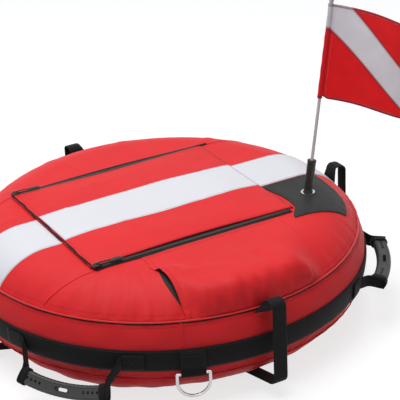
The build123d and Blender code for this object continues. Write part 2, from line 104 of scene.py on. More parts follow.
def add_node(tree: bpy.types.NodeTree, kind: str, inputs: Union[dict, Sequence] = (),
             out: Union[int, str] = 0, **settings: object) -> Optional[Socket]:
    """Adds a shader node with its settings and links.

    Args:
        tree: Node tree to add to.
        kind: Node type, with its operation after a dot where it has one, such as Math.ADD.
        inputs: Values or output sockets, in the order of the node's inputs or by their names.
        out: Name or number of the output wanted.
        settings: Other properties of the node.
    Returns:
        The output socket, if the node has one.
    """
    kind, _, operation = kind.partition(".")
    node = tree.nodes.new("ShaderNode" + kind)
    for key, value in ({"operation": operation, **settings} if operation else settings).items():
        setattr(node, key, value)
    for key, value in inputs.items() if isinstance(inputs, dict) else enumerate(inputs):
        if isinstance(value, Socket):
            tree.links.new(value, node.inputs[key])
        else:
            node.inputs[key].default_value = value
    return node.outputs[out] if node.outputs else None


def wave(vector: Socket, pitch_mm: float, direction: str) -> dict:
    """What a sine band pattern is told: its pitch along X or Y, where the node's own period is 2 pi / 20."""
    inputs = {"Vector": vector, "Scale": TURN / 20 / (pitch_mm * MM)}
    return dict(inputs=inputs, out="Fac", wave_type="BANDS", bands_direction=direction, wave_profile="SIN")


def noise(vector: Socket, size_mm: float, detail: float = 2.0) -> dict:
    """What a noise is told, so that its features are about size_mm across."""
    inputs = {"Vector": vector, "Scale": 1 / (size_mm * MM), "Detail": detail, "Roughness": 0.55}
    return dict(inputs=inputs, out="Fac")


def between(factor: Socket, low: Union[tuple, Socket], high: Union[tuple, Socket]) -> dict:
    """What a mix of two colours is told; 0, 6 and 7 are its factor and its colour sockets."""
    return dict(inputs={0: factor, 6: low, 7: high}, out=2, data_type="RGBA")


def relief(height: Socket, strength: float, depth_mm: float, under: Optional[Socket] = None) -> dict:
    """What a bump is told: a height, its strength and depth, and the bump that it lies on."""
    inputs = {"Height": height, "Strength": strength, "Distance": depth_mm * MM}
    return dict(inputs={**inputs, "Normal": under} if under else inputs)


class Shader:
    """Node tree of one material, with the object's coordinates and the mesh's UV in metres."""

    def __init__(self, name: str) -> None:
        """Starts a material.

        Args:
            name: Name of the real material and how it is made.
        """
        self.material = bpy.data.materials.new(name)
        self.material.use_nodes = True
        self.material.node_tree.nodes.clear()
        self.add = partial(add_node, self.material.node_tree)
        self.place = self.add("TexCoord", out="Object")
        self.uv = self.add("UVMap", uv_map="UVMap")

    def output(self, surface: Socket) -> Material:
        """Links a surface to the output and gives the material."""
        self.add("OutputMaterial", (surface,))
        return self.material


# Finishes


@dataclass(frozen=True)
class Cloth:
    """Plain-woven coated nylon: fine weave, soft dimples, uneven colour, faint sheen.

    The threads are drawn several times coarser than real ones, so that they show.
    """

    name: str
    code: str
    weave_mm: float = 0.9
    dimple_mm: float = 26.0
    dimple_depth_mm: float = 0.55
    patch_mm: float = 95.0
    roughness: float = 0.58
    sheen: float = 0.25
    uneven: float = 0.12

    def material(self) -> Material:
        """Builds the material, whose weave follows the mesh's UV.

        Returns:
            The coated cloth.
        """
        shader = Shader(self.name)
        add, base = shader.add, srgb(self.code)
        patches = add("TexNoise", **noise(shader.place, self.patch_mm, 3.0))
        threads = add("TexNoise", **noise(shader.uv, self.weave_mm * 3, 1.0))
        mottled = add("Math.MULTIPLY_ADD", (threads, 0.35, add("Math.MULTIPLY", (patches, 0.65))))
        colour = add("Mix", **between(mottled, shade(base, 1 - self.uneven), shade(base, 1 + self.uneven)))
        weave = add("Math.MULTIPLY", [add("TexWave", **wave(shader.uv, self.weave_mm, way)) for way in "XY"])
        dimples = add("TexNoise", **noise(shader.place, self.dimple_mm))
        soft = add("Bump", **relief(dimples, 0.6, self.dimple_depth_mm))
        return shader.output(add("BsdfPrincipled", {
            "Base Color": colour, "Normal": add("Bump", **relief(weave, 0.35, 0.1, soft)),
            "Roughness": add("Math.MULTIPLY_ADD", (dimples, 0.16, self.roughness - 0.08)),
            "Sheen Weight": self.sheen, "Sheen Roughness": 0.45, "Specular IOR Level": 0.25,
        }))


@dataclass(frozen=True)
class Webbing:
    """Woven polyester webbing: ribs across, lengthwise cords, a closer selvedge at both edges."""

    name: str
    code: str
    width_mm: float = 29.0
    rib_mm: float = 2.2
    cord_mm: float = 3.6
    selvedge_mm: float = 2.2
    roughness: float = 0.72

    def material(self) -> Material:
        """Builds the material; U runs along the webbing and V across it from its middle.

        Returns:
            The webbing.
        """
        shader = Shader(self.name)
        add, base = shader.add, srgb(self.code)
        ribs = add("TexWave", **wave(shader.uv, self.rib_mm, "X"))
        cords = add("TexWave", **wave(shader.uv, self.cord_mm, "Y"))
        height = add("Math.MULTIPLY_ADD", (cords, 0.5, add("Math.MULTIPLY", (ribs, 0.6))))
        from_middle = add("Math.ABSOLUTE", (add("SeparateXYZ", (shader.uv,), 1),))
        edge = add("Math.GREATER_THAN", (from_middle, (self.width_mm / 2 - self.selvedge_mm) * MM))
        fluff, worn = (add("TexNoise", **noise(shader.place, size)) for size in (1.6, 60.0))
        # The ribs' and cords' height paints their crests lighter: painted highlight; fluff, wear and the
        # selvedge are the webbing's own tone.
        mix = add("Math.MULTIPLY_ADD", (height, 0.45, add("Math.MULTIPLY", (fluff, 0.4))))
        for pattern, share in ((worn, 0.3), (edge, 0.18)):
            mix = add("Math.MULTIPLY_ADD", (pattern, share, mix), use_clamp=True)
        woven = add("Bump", **relief(height, 0.7, 0.45))
        return shader.output(add("BsdfPrincipled", {
            "Base Color": add("Mix", **between(mix, shade(base, 0.5), shade(base, 1.9))),
            "Normal": add("Bump", **relief(fluff, 0.3, 0.2, woven)),
            "Roughness": add("Math.MULTIPLY_ADD", (fluff, 0.2, self.roughness - 0.1)),
            "Sheen Weight": 0.06, "Specular IOR Level": 0.12,
        }))


@dataclass(frozen=True)
class Moulded:
    """Moulded rubber or plastic: fine mould grain, slightly polished and dusty places."""

    name: str
    code: str
    grain_mm: float = 0.9
    grain_depth_mm: float = 0.12
    scuff_mm: float = 14.0
    roughness: float = 0.5
    lighter: float = 1.5
    coat: float = 0.0

    def material(self) -> Material:
        """Builds the material in object coordinates.

        Returns:
            The moulded rubber or plastic.
        """
        shader = Shader(self.name)
        add, base = shader.add, srgb(self.code)
        grain = add("TexNoise", **noise(shader.place, self.grain_mm))
        scuffs = add("TexNoise", **noise(shader.place, self.scuff_mm, 4.0))
        mix = add("Math.MULTIPLY_ADD", (scuffs, 0.7, add("Math.MULTIPLY", (grain, 0.3))), use_clamp=True)
        return shader.output(add("BsdfPrincipled", {
            "Base Color": add("Mix", **between(mix, shade(base, 0.7), shade(base, self.lighter))),
            "Normal": add("Bump", **relief(grain, 0.5, self.grain_depth_mm)),
            "Roughness": add("Math.MULTIPLY_ADD", (scuffs, 0.3, self.roughness - 0.15)),
            "Coat Weight": self.coat, "Coat Roughness": 0.15,
        }))


@dataclass(frozen=True)
class PolishedSteel:
    """Welded and electropolished stainless steel: hairline scratches, duller patches from salt water."""

    name: str = "stainless_steel_electropolished"
    code: str = "C9CBCC"
    hairline_mm: float = 1.2
    patch_mm: float = 12.0

    def material(self) -> Material:
        """Builds the metal; its hairlines are a noise drawn nine times finer along Z.

        Returns:
            The steel.
        """
        shader = Shader(self.name)
        add, base = shader.add, srgb(self.code)
        stretched = add("VectorMath.MULTIPLY", (shader.place, (1.0, 1.0, 9.0)))
        hairlines = add("TexNoise", **noise(stretched, self.hairline_mm, 3.0))
        patches = add("TexNoise", **noise(shader.place, self.patch_mm, 3.0))
        return shader.output(add("BsdfPrincipled", {
            "Base Color": add("Mix", **between(patches, shade(base, 0.82), shade(base, 1.05))),
            "Normal": add("Bump", **relief(hairlines, 0.2, 0.05)),
            "Roughness": add("Math.MULTIPLY_ADD", (patches, 0.22, 0.1)), "Metallic": 1.0,
        }))


@dataclass(frozen=True)
class GlassFibre:
    """Pultruded glass-fibre rod: milky, with fibres along its length and a smooth resin skin."""

    name: str = "glass_fibre_pultruded"
    code: str = "D3D8DB"
    fibre_mm: float = 0.7
    cloud_mm: float = 22.0

    def material(self) -> Material:
        """Builds the translucent rod; its fibres are a noise stretched fifty times along Z.

        Returns:
            The rod's material.
        """
        shader = Shader(self.name)
        add, base = shader.add, srgb(self.code)
        stretched = add("VectorMath.MULTIPLY", (shader.place, (1.0, 1.0, 0.02)))
        fibres = add("TexNoise", **noise(stretched, self.fibre_mm))
        cloudy = add("TexNoise", **noise(shader.place, self.cloud_mm))
        mix = add("Math.MULTIPLY_ADD", (fibres, 0.6, add("Math.MULTIPLY", (cloudy, 0.4))))
        return shader.output(add("BsdfPrincipled", {
            "Base Color": add("Mix", **between(mix, shade(base, 0.75), shade(base, 1.25))),
            "Normal": add("Bump", **relief(fibres, 0.25, 0.05)), "Roughness": 0.28, "Coat Weight": 0.4,
            "Subsurface Weight": 0.25, "Subsurface Radius": (0.004, 0.004, 0.004),
        }))


@dataclass(frozen=True)
class FlagCloth:
    """Light ripstop flag nylon, red with a sewn-in white diagonal and hems, lit through a little.

    With off = x / reach + y / H - 1 at fly x and hoist y, the diagonal lies where off is between -under
    and over.
    """

    name: str = "flag_nylon_ripstop_sewn"
    red: str = "F41C26"
    white: str = "F2F2F6"
    doubled: str = "8E1420"
    width_mm: float = 228.0
    height_mm: float = 189.0
    reach_mm: float = 246.0
    under: float = 0.245
    over: float = 0.16
    seam: float = 0.016
    hem_mm: float = 5.0
    ripstop_mm: float = 5.0
    weave_mm: float = 0.7
    glow: float = 0.45

    def material(self) -> Material:
        """Builds the cloth; U runs along the fly and V up the hoist.

        Returns:
            The flag's material.
        """
        shader = Shader(self.name)
        add = shader.add
        fly, hoist, _ = add("SeparateXYZ", (shader.uv,)).node.outputs
        along = add("Math.DIVIDE", (fly, self.reach_mm * MM))
        upward_share = add("Math.DIVIDE", (hoist, self.height_mm * MM))
        off = add("Math.SUBTRACT", (add("Math.ADD", (along, upward_share)), 1.0))
        above = add("Math.GREATER_THAN", (off, -self.under))
        band = add("Math.MULTIPLY", (above, add("Math.LESS_THAN", (off, self.over))))
        beyond = [add("Math.SUBTRACT", (off, edge)) for edge in (-self.under, self.over)]
        gaps = [add("Math.ABSOLUTE", (distance,)) for distance in beyond]
        seam = add("Math.MAXIMUM", [add("Math.LESS_THAN", (gap, self.seam)) for gap in gaps])
        hem = add("Math.LESS_THAN", (hoist, self.hem_mm * MM))
        for side, length_mm in ((hoist, self.height_mm), (fly, self.width_mm)):
            folded = add("Math.GREATER_THAN", (side, (length_mm - self.hem_mm) * MM))
            hem = add("Math.MAXIMUM", (hem, folded))
        uneven = add("TexNoise", **noise(shader.place, 30.0))
        red, white = (
            add("Mix", **between(uneven, shade(srgb(code), low), shade(srgb(code), high)))
            for code, low, high in ((self.red, 0.9, 1.12), (self.white, 0.92, 1.04))
        )
        plain = add("Mix", **between(band, red, white))
        doubled = add("Math.MAXIMUM", (add("Math.MULTIPLY", (hem, 0.5)), add("Math.MULTIPLY", (seam, 0.45))))
        colour = add("Mix", **between(doubled, plain, srgb(self.doubled)))
        cords, threads = (
            [add("TexWave", **wave(shader.uv, pitch, way)) for way in "XY"]
            for pitch in (self.ripstop_mm, self.weave_mm)
        )
        weave = add("Math.MULTIPLY", threads)
        ripstop = add("Math.MULTIPLY", (add("Math.GREATER_THAN", (add("Math.MAXIMUM", cords), 0.985)), 0.6))
        height = add("Math.ADD", (add("Math.ADD", (ripstop, weave)), add("Math.MULTIPLY", (doubled, 4.0))))
        normal = add("Bump", **relief(height, 0.45, 0.12))
        skin = {"Base Color": colour, "Normal": normal, "Roughness": 0.6, "Sheen Weight": 0.2}
        lit_through = add("BsdfTranslucent", {"Color": colour, "Normal": normal})
        return shader.output(add("MixShader", (self.glow, add("BsdfPrincipled", skin), lit_through)))


class Palette:
    """Every finish of the buoy, built once."""

    def __init__(self) -> None:
        """Builds the finishes; each comment says what the real material is."""
        # PU-coated nylon of the cover, cut and sewn: even colour, a faint weave and hardly any gloss
        self.red = Cloth("nylon_red_coated", "DF2429", sheen=0.06).material()
        # The same cloth in white, sewn on as the stripe
        self.white = Cloth("nylon_white_coated", "E2E2E8", uneven=0.04, roughness=0.6, sheen=0.06).material()
        # Heavier coated nylon under the mast and inside the cover: a coarser weave that drinks the light
        self.black = Cloth("nylon_black_coated", "1D1D1C", weave_mm=1.2, uneven=0.3, sheen=0.05).material()
        # Piping cord in a sleeve of the same cloth, uneven in tone, and a paler red than the cover as a
        # painted highlight along the rim seam
        self.piping = Cloth(
            "piping_red_sewn_painted_highlight", "D4363A", weave_mm=0.8, dimple_mm=9.0, uneven=0.2, sheen=0.3).material()
        # Woven polyester webbing in the widths used: dull black, with its rib and cord crests painted lighter
        # as a painted highlight on top of their bump
        self.belt = Webbing("webbing_polyester_belt", "0F0F0F", width_mm=45.0).material()
        self.strap = Webbing("webbing_polyester_strap", "0F0F0F").material()
        self.keeper = Webbing("webbing_polyester_keeper", "0F0F0F", width_mm=46.0).material()
        # Knitted zip tape, moulded coil and die-cast slider with a rubber pull
        self.tape = Webbing("zip_tape_knitted", "0E0E0D", width_mm=30.0, rib_mm=1.0, cord_mm=2.0).material()
        self.teeth = Moulded("zip_teeth_moulded", "35322A", roughness=0.45, coat=0.1).material()
        self.slider = Moulded("zip_slider_die_cast_painted", "121211", roughness=0.45, coat=0.08).material()
        self.pull = Moulded("zip_pull_moulded_rubber", "151515", roughness=0.55).material()
        # Thermoplastic rubber of the grips and the mast socket: satin, greyer where hands rub it
        self.grip = Moulded("grip_rubber_moulded", "232322", grain_mm=1.1, lighter=1.6).material()
        self.socket = Moulded("socket_rubber_moulded", "141414").material()
        # Steel of the rings and the grommet, glass fibre of the pole and the pale plastic of its cap
        self.steel = PolishedSteel().material()
        self.pole = GlassFibre().material()
        self.cap = Moulded("cap_plastic_moulded", "C3C6C8", roughness=0.35, lighter=1.15, coat=0.3).material()
        self.flag = FlagCloth().material()
        # Twisted polyester sewing thread, a shade off its cloth
        thread = partial(Moulded, grain_mm=0.4, roughness=0.6)
        self.red_thread = thread("thread_red_twisted", "A8141C").material()
        self.white_thread = thread("thread_white_twisted", "C9C9CE", lighter=1.1).material()
        self.black_thread = thread("thread_black_twisted", "2C2C2B").material()
        # Knotted polyester net of the compartment's floor
        self.net = Moulded("net_polyester_knotted", "1A1A1A", grain_mm=0.6, roughness=0.7).material()


# Shape helpers


def unit(v: Array) -> Array:
    """Vectors of length one along the last axis."""
    return v / np.maximum(np.linalg.norm(v, axis=-1, keepdims=True), 1e-9)


def smoothstep(x: Level, low: float, high: float) -> Level:
    """3 t^2 - 2 t^3 for t = (x - low) / (high - low) held between 0 and 1."""
    t = np.clip((x - low) / (high - low), 0, 1)
    return t * t * (3 - 2 * t)


def window(x: Level, rise: tuple, fall: tuple) -> Level:
    """One between two limits: a smoothstep up over rise and down over fall."""
    return smoothstep(x, *rise) * (1 - smoothstep(x, *fall))


def bell(x: Level, centre: float, half: float) -> Level:
    """A soft hump of height one: exp(-((x - centre) / half)^2)."""
    return np.exp(-(((x - centre) / half) ** 2))


def ripples(x: Level, rows: Sequence) -> Level:
    """Sum of height sin(rate x + phase) over rows of height, rate and phase."""
    return sum(height * np.sin(rate * x + phase) for height, rate, phase in rows)


def power(v: Array, exponent: float) -> Array:
    """sgn(v) |v|^exponent, which turns a circle's sine and cosine into a superellipse's."""
    return np.sign(v) * np.abs(v) ** exponent


def grid(first: Array, second: Array) -> list:
    """Two coordinates over a grid, rows by columns."""
    return np.meshgrid(first, second, indexing="ij")


def xyz(*values: Level) -> Array:
    """Coordinates, broadcast and stacked along a last axis."""
    return np.stack(np.broadcast_arrays(*values), axis=-1)


def around(count: int) -> Array:
    """Angles of a full turn in even steps, without the last one."""
    return np.linspace(0, TURN, count + 1)[:-1]


def compass(azimuth: float) -> tuple:
    """Directions outwards and along the ring at an azimuth in radians."""
    out = np.array([math.cos(azimuth), math.sin(azimuth), 0.0])
    return out, np.array([-out[1], out[0], 0.0])


def run_length(line: Array) -> Array:
    """Distance of each point along a line from its first."""
    return np.concatenate([[0.0], np.cumsum(np.linalg.norm(np.diff(line, axis=0), axis=1))])


def read_off(at: Array, run: Array, values: Array) -> Array:
    """Points or directions of a line, read off at distances along it."""
    return xyz(*(np.interp(at, run, values[:, k]) for k in range(3)))


def fillet_path(points: Sequence, radii: Sequence[float], steps: int = 7) -> Array:
    """Path through points with its corners rounded: each corner is the curve (1-t)^2 A + 2t(1-t) P + t^2 B.

    Args:
        points: Corner points in millimetres.
        radii: Radius at each inner corner.
        steps: Points on each corner's curve.
    Returns:
        Points of the rounded path.
    """
    points = [np.asarray(p, dtype=float) for p in points]
    line, t = [points[0][None]], np.linspace(0, 1, steps)[:, None]
    for before, corner, after, radius in zip(points, points[1:], points[2:], radii):
        a, b = unit(before - corner), unit(after - corner)
        half = math.acos(float(np.clip(np.dot(a, b), -0.9999, 0.9999))) / 2
        room = 0.49 * min(np.linalg.norm(before - corner), np.linalg.norm(after - corner))
        reach = min(radius / math.tan(half), room)
        start, end = corner + a * reach, corner + b * reach
        line.append((1 - t) ** 2 * start + 2 * t * (1 - t) * corner + t**2 * end)
    return np.concatenate([*line, points[-1][None]])


# Mesh helpers


def make_object(name: str, vertices: Array, faces: list, loop_uv: Array, material: Material) -> Piece:
    """Makes a smooth mesh object from points in millimetres.

    Args:
        name: Object name.
        vertices: Points, n by 3, in millimetres.
        faces: Lists of vertex numbers.
        loop_uv: One UV per face corner, in millimetres.
        material: Material of all faces.
    Returns:
        The object, linked to the scene.
    """
    mesh = bpy.data.meshes.new(name)
    mesh.from_pydata((np.asarray(vertices) * MM).tolist(), [], faces)
    layer = mesh.uv_layers.new(name="UVMap")
    layer.data.foreach_set("uv", (np.asarray(loop_uv, dtype=float) * MM).ravel())
    mesh.polygons.foreach_set("use_smooth", [True] * len(mesh.polygons))
    mesh.materials.append(material)
    obj = bpy.data.objects.new(name, mesh)
    bpy.context.scene.collection.objects.link(obj)
    return obj


def mount(obj: Piece, body: Body, slot: Slot, *nodes: str) -> Piece:
    """Lets a piece ride on a body, and hides the CAD nodes that it stands for.

    Args:
        obj: The piece.
        body: Body that carries it.
        slot: Material slot of the record; not used.
        nodes: CAD nodes that it replaces.
    Returns:
        The piece.
    """
    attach(obj, body.value)
    if nodes:
        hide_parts(*nodes)
    return obj


def upward(points: Array) -> Array:
    """Straight up at every point."""
    return np.broadcast_to(UP, points.shape)


def sheet_object(name: str, points: Array, uv: Array, material: Material, outward: Callable[[Array], Array],
                 thickness: float, closed: bool = False, lining: Optional[Material] = None) -> Piece:
    """Sheet of cloth over a grid of points, thickened towards its inside.

    Args:
        name: Object name.
        points: Grid of outer points, rows by columns by 3, in millimetres.
        uv: UV grid in millimetres, with one more row than points if the sheet is closed.
        material: Outer material.
        outward: Gives a direction on the outer side for points.
        thickness: Thickness in millimetres.
        closed: True if the last row joins the first.
        lining: Material of the inner side.
    Returns:
        The object.
    """
    rows, columns = points.shape[:2]
    i, j = (axis.ravel() for axis in grid(np.arange(rows if closed else rows - 1), np.arange(columns - 1)))
    k, m = (i + 1) % rows, (i + 1) % len(uv)
    faces = np.stack([i * columns + j, k * columns + j, k * columns + j + 1, i * columns + j + 1], axis=1)
    corner_uv = np.stack([uv[i, j], uv[m, j], uv[m, j + 1], uv[i, j + 1]], axis=1)
    flat = points.reshape(-1, 3)
    corners = flat[faces]
    normals = np.cross(corners[:, 2] - corners[:, 0], corners[:, 3] - corners[:, 1])
    if np.sum(normals * outward(corners.mean(axis=1))) < 0:
        faces, corner_uv = faces[:, ::-1], corner_uv[:, ::-1]
    obj = make_object(name, flat, faces.tolist(), corner_uv, material)
    solid = obj.modifiers.new("thickness", "SOLIDIFY")
    solid.thickness, solid.offset, solid.use_even_offset = thickness * MM, -1.0, True
    if lining is not None:
        obj.data.materials.append(lining)
        solid.material_offset, solid.material_offset_rim = 1, 0
    return obj


def strap_object(name: str, path: Array, across: Array, width: Level, thickness: float, material: Material,
                 closed: bool = False) -> Piece:
    """Strap or bead: a rounded section of 14 points carried along a path.

    The section is a superellipse: a = w/2 sgn(cos t)|cos t|^0.35 across and b = h/2 sgn(sin t)|sin t|^0.6
    through.

    Args:
        name: Object name.
        path: Middle line, n by 3, in millimetres.
        across: Direction of the width, one for all or one at each point.
        width: Width in millimetres, one value or one at each point.
        thickness: Thickness in millimetres.
        material: Material.
        closed: True if the path joins up.
    Returns:
        The object.
    """
    path = np.asarray(path, dtype=float)
    count, sides = len(path), 14
    if closed:
        tangent = unit(np.roll(path, -1, axis=0) - np.roll(path, 1, axis=0))
    else:
        tangent = unit(np.gradient(path, axis=0))
    across = np.broadcast_to(across, path.shape)
    across = unit(across - tangent * np.sum(across * tangent, axis=1, keepdims=True))
    width = np.broadcast_to(width, (count,))
    t = around(sides) + np.pi / sides
    a, b = power(np.cos(t), 0.35), power(np.sin(t), 0.6)
    rings = (
        path[:, None]
        + across[:, None] * (a[None, :, None] * width[:, None, None] / 2)
        + np.cross(tangent, across)[:, None] * (b[None, :, None] * thickness / 2)
    )
    run = run_length(np.concatenate([path, path[:1]]))
    i, j = (axis.ravel() for axis in grid(np.arange(count if closed else count - 1), np.arange(sides)))
    n, m = (i + 1) % count, (j + 1) % sides
    quads = np.stack([i * sides + m, n * sides + m, n * sides + j, i * sides + j], axis=1)
    along, aside = np.stack([i, i + 1, i + 1, i], axis=1), np.stack([m, m, j, j], axis=1)
    quad_uv = xyz(run[along], a[aside] * width[i, None] / 2)
    faces, uv = quads.tolist(), [quad_uv.reshape(-1, 2)]
    if not closed:
        ends = np.arange(sides)
        faces += [ends[::-1].tolist(), (ends + (count - 1) * sides).tolist()]
        uv += [xyz(0.0, a[::-1] * width[0] / 2), xyz(run[count - 1], a * width[-1] / 2)]
    return make_object(name, rings.reshape(-1, 3), faces, np.concatenate(uv), material)


# A stitch is an octahedron and a zip tooth or a strand is a block, both from -1 to 1 along their axes
STITCH_SHAPE = np.array([[1, 0, 0], [0, 1, 0], [-1, 0, 0], [0, -1, 0], [0, 0, 1], [0, 0, -1]], dtype=float)
STITCH_FACES = np.array([
    [0, 1, 4], [1, 2, 4], [2, 3, 4], [3, 0, 4], [1, 0, 5], [2, 1, 5], [3, 2, 5], [0, 3, 5],
])
SQUARE = ((-1, -1), (1, -1), (1, 1), (-1, 1))
BLOCK_SHAPE = np.array([[x, y, z] for z in (-1, 1) for x, y in SQUARE], dtype=float)
BLOCK_FACES = np.array([[3, 2, 1, 0], [4, 5, 6, 7], [0, 1, 5, 4], [1, 2, 6, 5], [2, 3, 7, 6], [3, 0, 4, 7]])


def copies_object(name: str, shape: Array, faces: Array, centres: Array, axes: Array,
                  material: Material) -> Piece:
    """Many copies of one small shape in a single mesh.

    Args:
        name: Object name.
        shape: The shape's points, k by 3.
        faces: The shape's faces.
        centres: Place of each copy, n by 3, in millimetres.
        axes: Three scaled axes of each copy, n by 3 by 3.
        material: Material.
    Returns:
        The object.
    """
    flat = (centres[:, None, :] + np.einsum("ka,nab->nkb", shape, axes)).reshape(-1, 3)
    offsets = np.arange(len(centres))[:, None, None] * len(shape)
    all_faces = (faces[None] + offsets).reshape(-1, faces.shape[1])
    if np.linalg.det(axes[0]) < 0:
        all_faces = all_faces[:, ::-1]
    return make_object(name, flat, all_faces.tolist(), flat[all_faces][:, :, :2], material)


@dataclass
class Stitching:
    """Rows of thread stitches of one sub-assembly, gathered into one piece."""

    length: float = 3.0
    pitch: float = 4.3
    thick: float = 0.55
    centres: list = field(default_factory=list)
    axes: list = field(default_factory=list)

    def row(self, line: Array, outward: Optional[Array] = None) -> None:
        """Adds a row of stitches at an even pitch along a line.

        Args:
            line: Points of the line, in millimetres.
            outward: Direction off the cloth at each point or for all, if not the skin's own.
        """
        outward = np.broadcast_to(SKIN.normal(line) if outward is None else outward, line.shape)
        run = run_length(line)
        count = max(2, int(run[-1] / self.pitch))
        at = (np.arange(count) + 0.5) * run[-1] / count
        tangent = unit(read_off(at + 0.6, run, line) - read_off(at - 0.6, run, line))
        up = unit(read_off(at, run, outward))
        side = np.cross(up, tangent)
        self.centres.append(read_off(at, run, line))
        scaled = [tangent * self.length / 2, side * self.thick * 0.8, up * self.thick]
        self.axes.append(np.stack(scaled, axis=1))

    def build(self, name: str, material: Material, body: Body, slot: Slot) -> Piece:
        """Makes the piece and lets it ride on its body."""
        centres, axes = np.concatenate(self.centres), np.concatenate(self.axes)
        return mount(copies_object(name, STITCH_SHAPE, STITCH_FACES, centres, axes, material), body, slot)


# Shape of the inflated cover


@dataclass(frozen=True)
class Skin:
    """Outer skin of the cover: a flat deck inside the crest circle and a round section outside it.

    With r the distance from the axis, the skin's height is section_z + sqrt(R^2 - (r - ring_r)^2) outside the
    crest and section_z + R inside it. Folds are added along the skin's normal.
    """

    ring_r: float = 286.0
    section_r: float = 114.0
    section_z: float = 116.8
    seam_deg: float = 30.2
    belt_r: float = 400.0
    lid_x: tuple = (-245.0, 187.0)
    lid_y: tuple = (-181.0, 176.0)
    zip_margin: float = 14.0
    # The rim seam's radius, where the top panel's gathers start, how far they reach, and where they are slack
    rim_r: float = 384.5
    gather_reach: float = 19.0
    gather_height: float = 0.8
    slack: tuple = (-2.16, 0.22, 1.9)
    wave_height: float = 0.3
    fold_bow: float = 4.0
    # The side band's gathers: height, and reach in degrees from a seam; half width of its creases
    side_gather_height: float = 0.55
    side_gather_deg: float = 3.2
    crease_half: float = 4.5
    # Slack under the lower seam: azimuth and half width in degrees, height in millimetres
    sag: tuple = (-138.0, 22.0, 6.0)
    # Gathers in the seams, as rows of height, turns round the ring and phase
    top_gathers: tuple = ((1.0, 61, 0.4), (0.7, 97, 2.1), (0.6, 143, 4.0))
    side_gathers: tuple = ((1.0, 83, 1.0), (0.7, 127, 2.0), (0.5, 171, 0.0))
    # Folds on the top panel: start x, y, end x, y, height, half width
    folds: tuple = (
        (-250.0, -190.0, -326.0, -204.0, 2.6, 9.0), (-262.0, -176.0, -352.0, -150.0, -1.6, 10.0),
        (-238.0, -205.0, -282.0, -262.0, 2.2, 8.0), (-200.0, -215.0, -236.0, -300.0, 2.0, 9.0),
        (-176.0, -232.0, -196.0, -326.0, -1.8, 8.0), (-150.0, -260.0, -158.0, -348.0, 1.8, 8.0),
        (-252.0, 190.0, -330.0, 204.0, 1.0, 12.0), (-228.0, 200.0, -262.0, 276.0, 0.8, 12.0),
        (196.0, 184.0, 282.0, 262.0, 1.6, 8.0), (60.0, 200.0, 88.0, 368.0, 1.2, 14.0),
        (-70.0, 200.0, -100.0, 364.0, 1.3, 15.0), (-275.0, -90.0, -372.0, -96.0, 1.3, 12.0),
        (-275.0, 90.0, -372.0, 100.0, 1.2, 12.0),
    )
    # Slanting creases of the side band: azimuth in degrees, slope, spread in degrees, height in millimetres
    creases: tuple = (
        (-153.0, 1.2, 5.0, 1.8), (-148.5, 0.9, 5.5, -1.4), (-144.0, 0.5, 5.0, 2.0), (-139.0, -0.7, 5.0, 1.7),
        (-134.5, -1.2, 5.5, -1.3), (-43.0, 0.8, 5.0, 1.2), (-30.0, -0.8, 5.0, 1.2), (30.0, 0.8, 5.0, 1.2),
        (42.0, -0.8, 5.0, 1.2), (138.0, 0.9, 5.0, 1.5), (149.0, -0.9, 5.0, 1.5),
    )

    def lift(self, x: Array, y: Array) -> Array:
        """Height of the folds and gathers over the plain skin.

        The gathers die away from the rim seam as exp(-d / 19), the cloth between is slow waves, and each fold
        is a bell across its bowed line. All of it fades out beside the lid's zips.

        Args:
            x: Plan coordinate.
            y: Plan coordinate.
        Returns:
            Heights in millimetres.
        """
        r, azimuth = np.hypot(x, y), np.arctan2(y, x)
        beside_x = np.maximum(self.lid_x[0] - x, x - self.lid_x[1])
        beside_y = np.maximum(self.lid_y[0] - self.zip_margin - y, y - self.zip_margin - self.lid_y[1])
        near = np.exp(-np.clip(self.rim_r - r, 0, None) / self.gather_reach)
        place, half, more = self.slack
        height = self.gather_height * near * (1 + more * bell(azimuth, place, half))
        waves = np.sin(9 * azimuth + 0.6) * np.sin((r - self.ring_r) / 21.0) * smoothstep(r, self.ring_r, 330)
        value = height * ripples(azimuth, self.top_gathers) + self.wave_height * waves
        for x0, y0, x1, y1, height, half in self.folds:
            dx, dy = x1 - x0, y1 - y0
            length = math.hypot(dx, dy)
            along = ((x - x0) * dx + (y - y0) * dy) / length**2
            bow = self.fold_bow * np.sin(np.pi * np.clip(along, 0, 1))
            off = ((x - x0) * dy - (y - y0) * dx) / length + bow
            value = value + height * window(along, (-0.08, 0.2), (0.75, 1.1)) * bell(off, 0.0, half)
        clear = smoothstep(np.maximum(beside_x, beside_y), 1.0, 26.0)
        return value * clear * (1 - smoothstep(r, 382.0, 384.6) * 0.8)

    def top(self, x: Level, y: Level, offset: float = 0.0) -> Array:
        """Points on the top panel over plan points.

        Args:
            x: Plan coordinate.
            y: Plan coordinate.
            offset: Distance off the cloth.
        Returns:
            Points on the cloth, or off it along the plain skin's normal.
        """
        x, y = np.broadcast_arrays(np.asarray(x, dtype=float), np.asarray(y, dtype=float))
        r = np.hypot(x, y)
        over = np.clip(r - self.ring_r, 0, self.section_r * 0.999)
        rise = np.sqrt(self.section_r**2 - over**2)
        radial = xyz(x, y) / np.maximum(r, 1e-6)[..., None]
        normal = np.concatenate([radial * over[..., None], rise[..., None]], axis=-1) / self.section_r
        return xyz(x, y, self.section_z + rise) + normal * (self.lift(x, y) + offset)[..., None]

    def from_core(self, points: Array) -> Array:
        """Direction from the ring's core circle to each point, which is outward for the cover."""
        return points - unit(points * (1.0, 1.0, 0.0)) * self.ring_r - UP * self.section_z

    def normal(self, points: Array) -> Array:
        """Outward direction of the skin at points on it."""
        inside = (np.hypot(points[..., 0], points[..., 1]) < self.ring_r) & (points[..., 2] > self.section_z)
        return np.where(inside[..., None], UP, unit(self.from_core(points)))

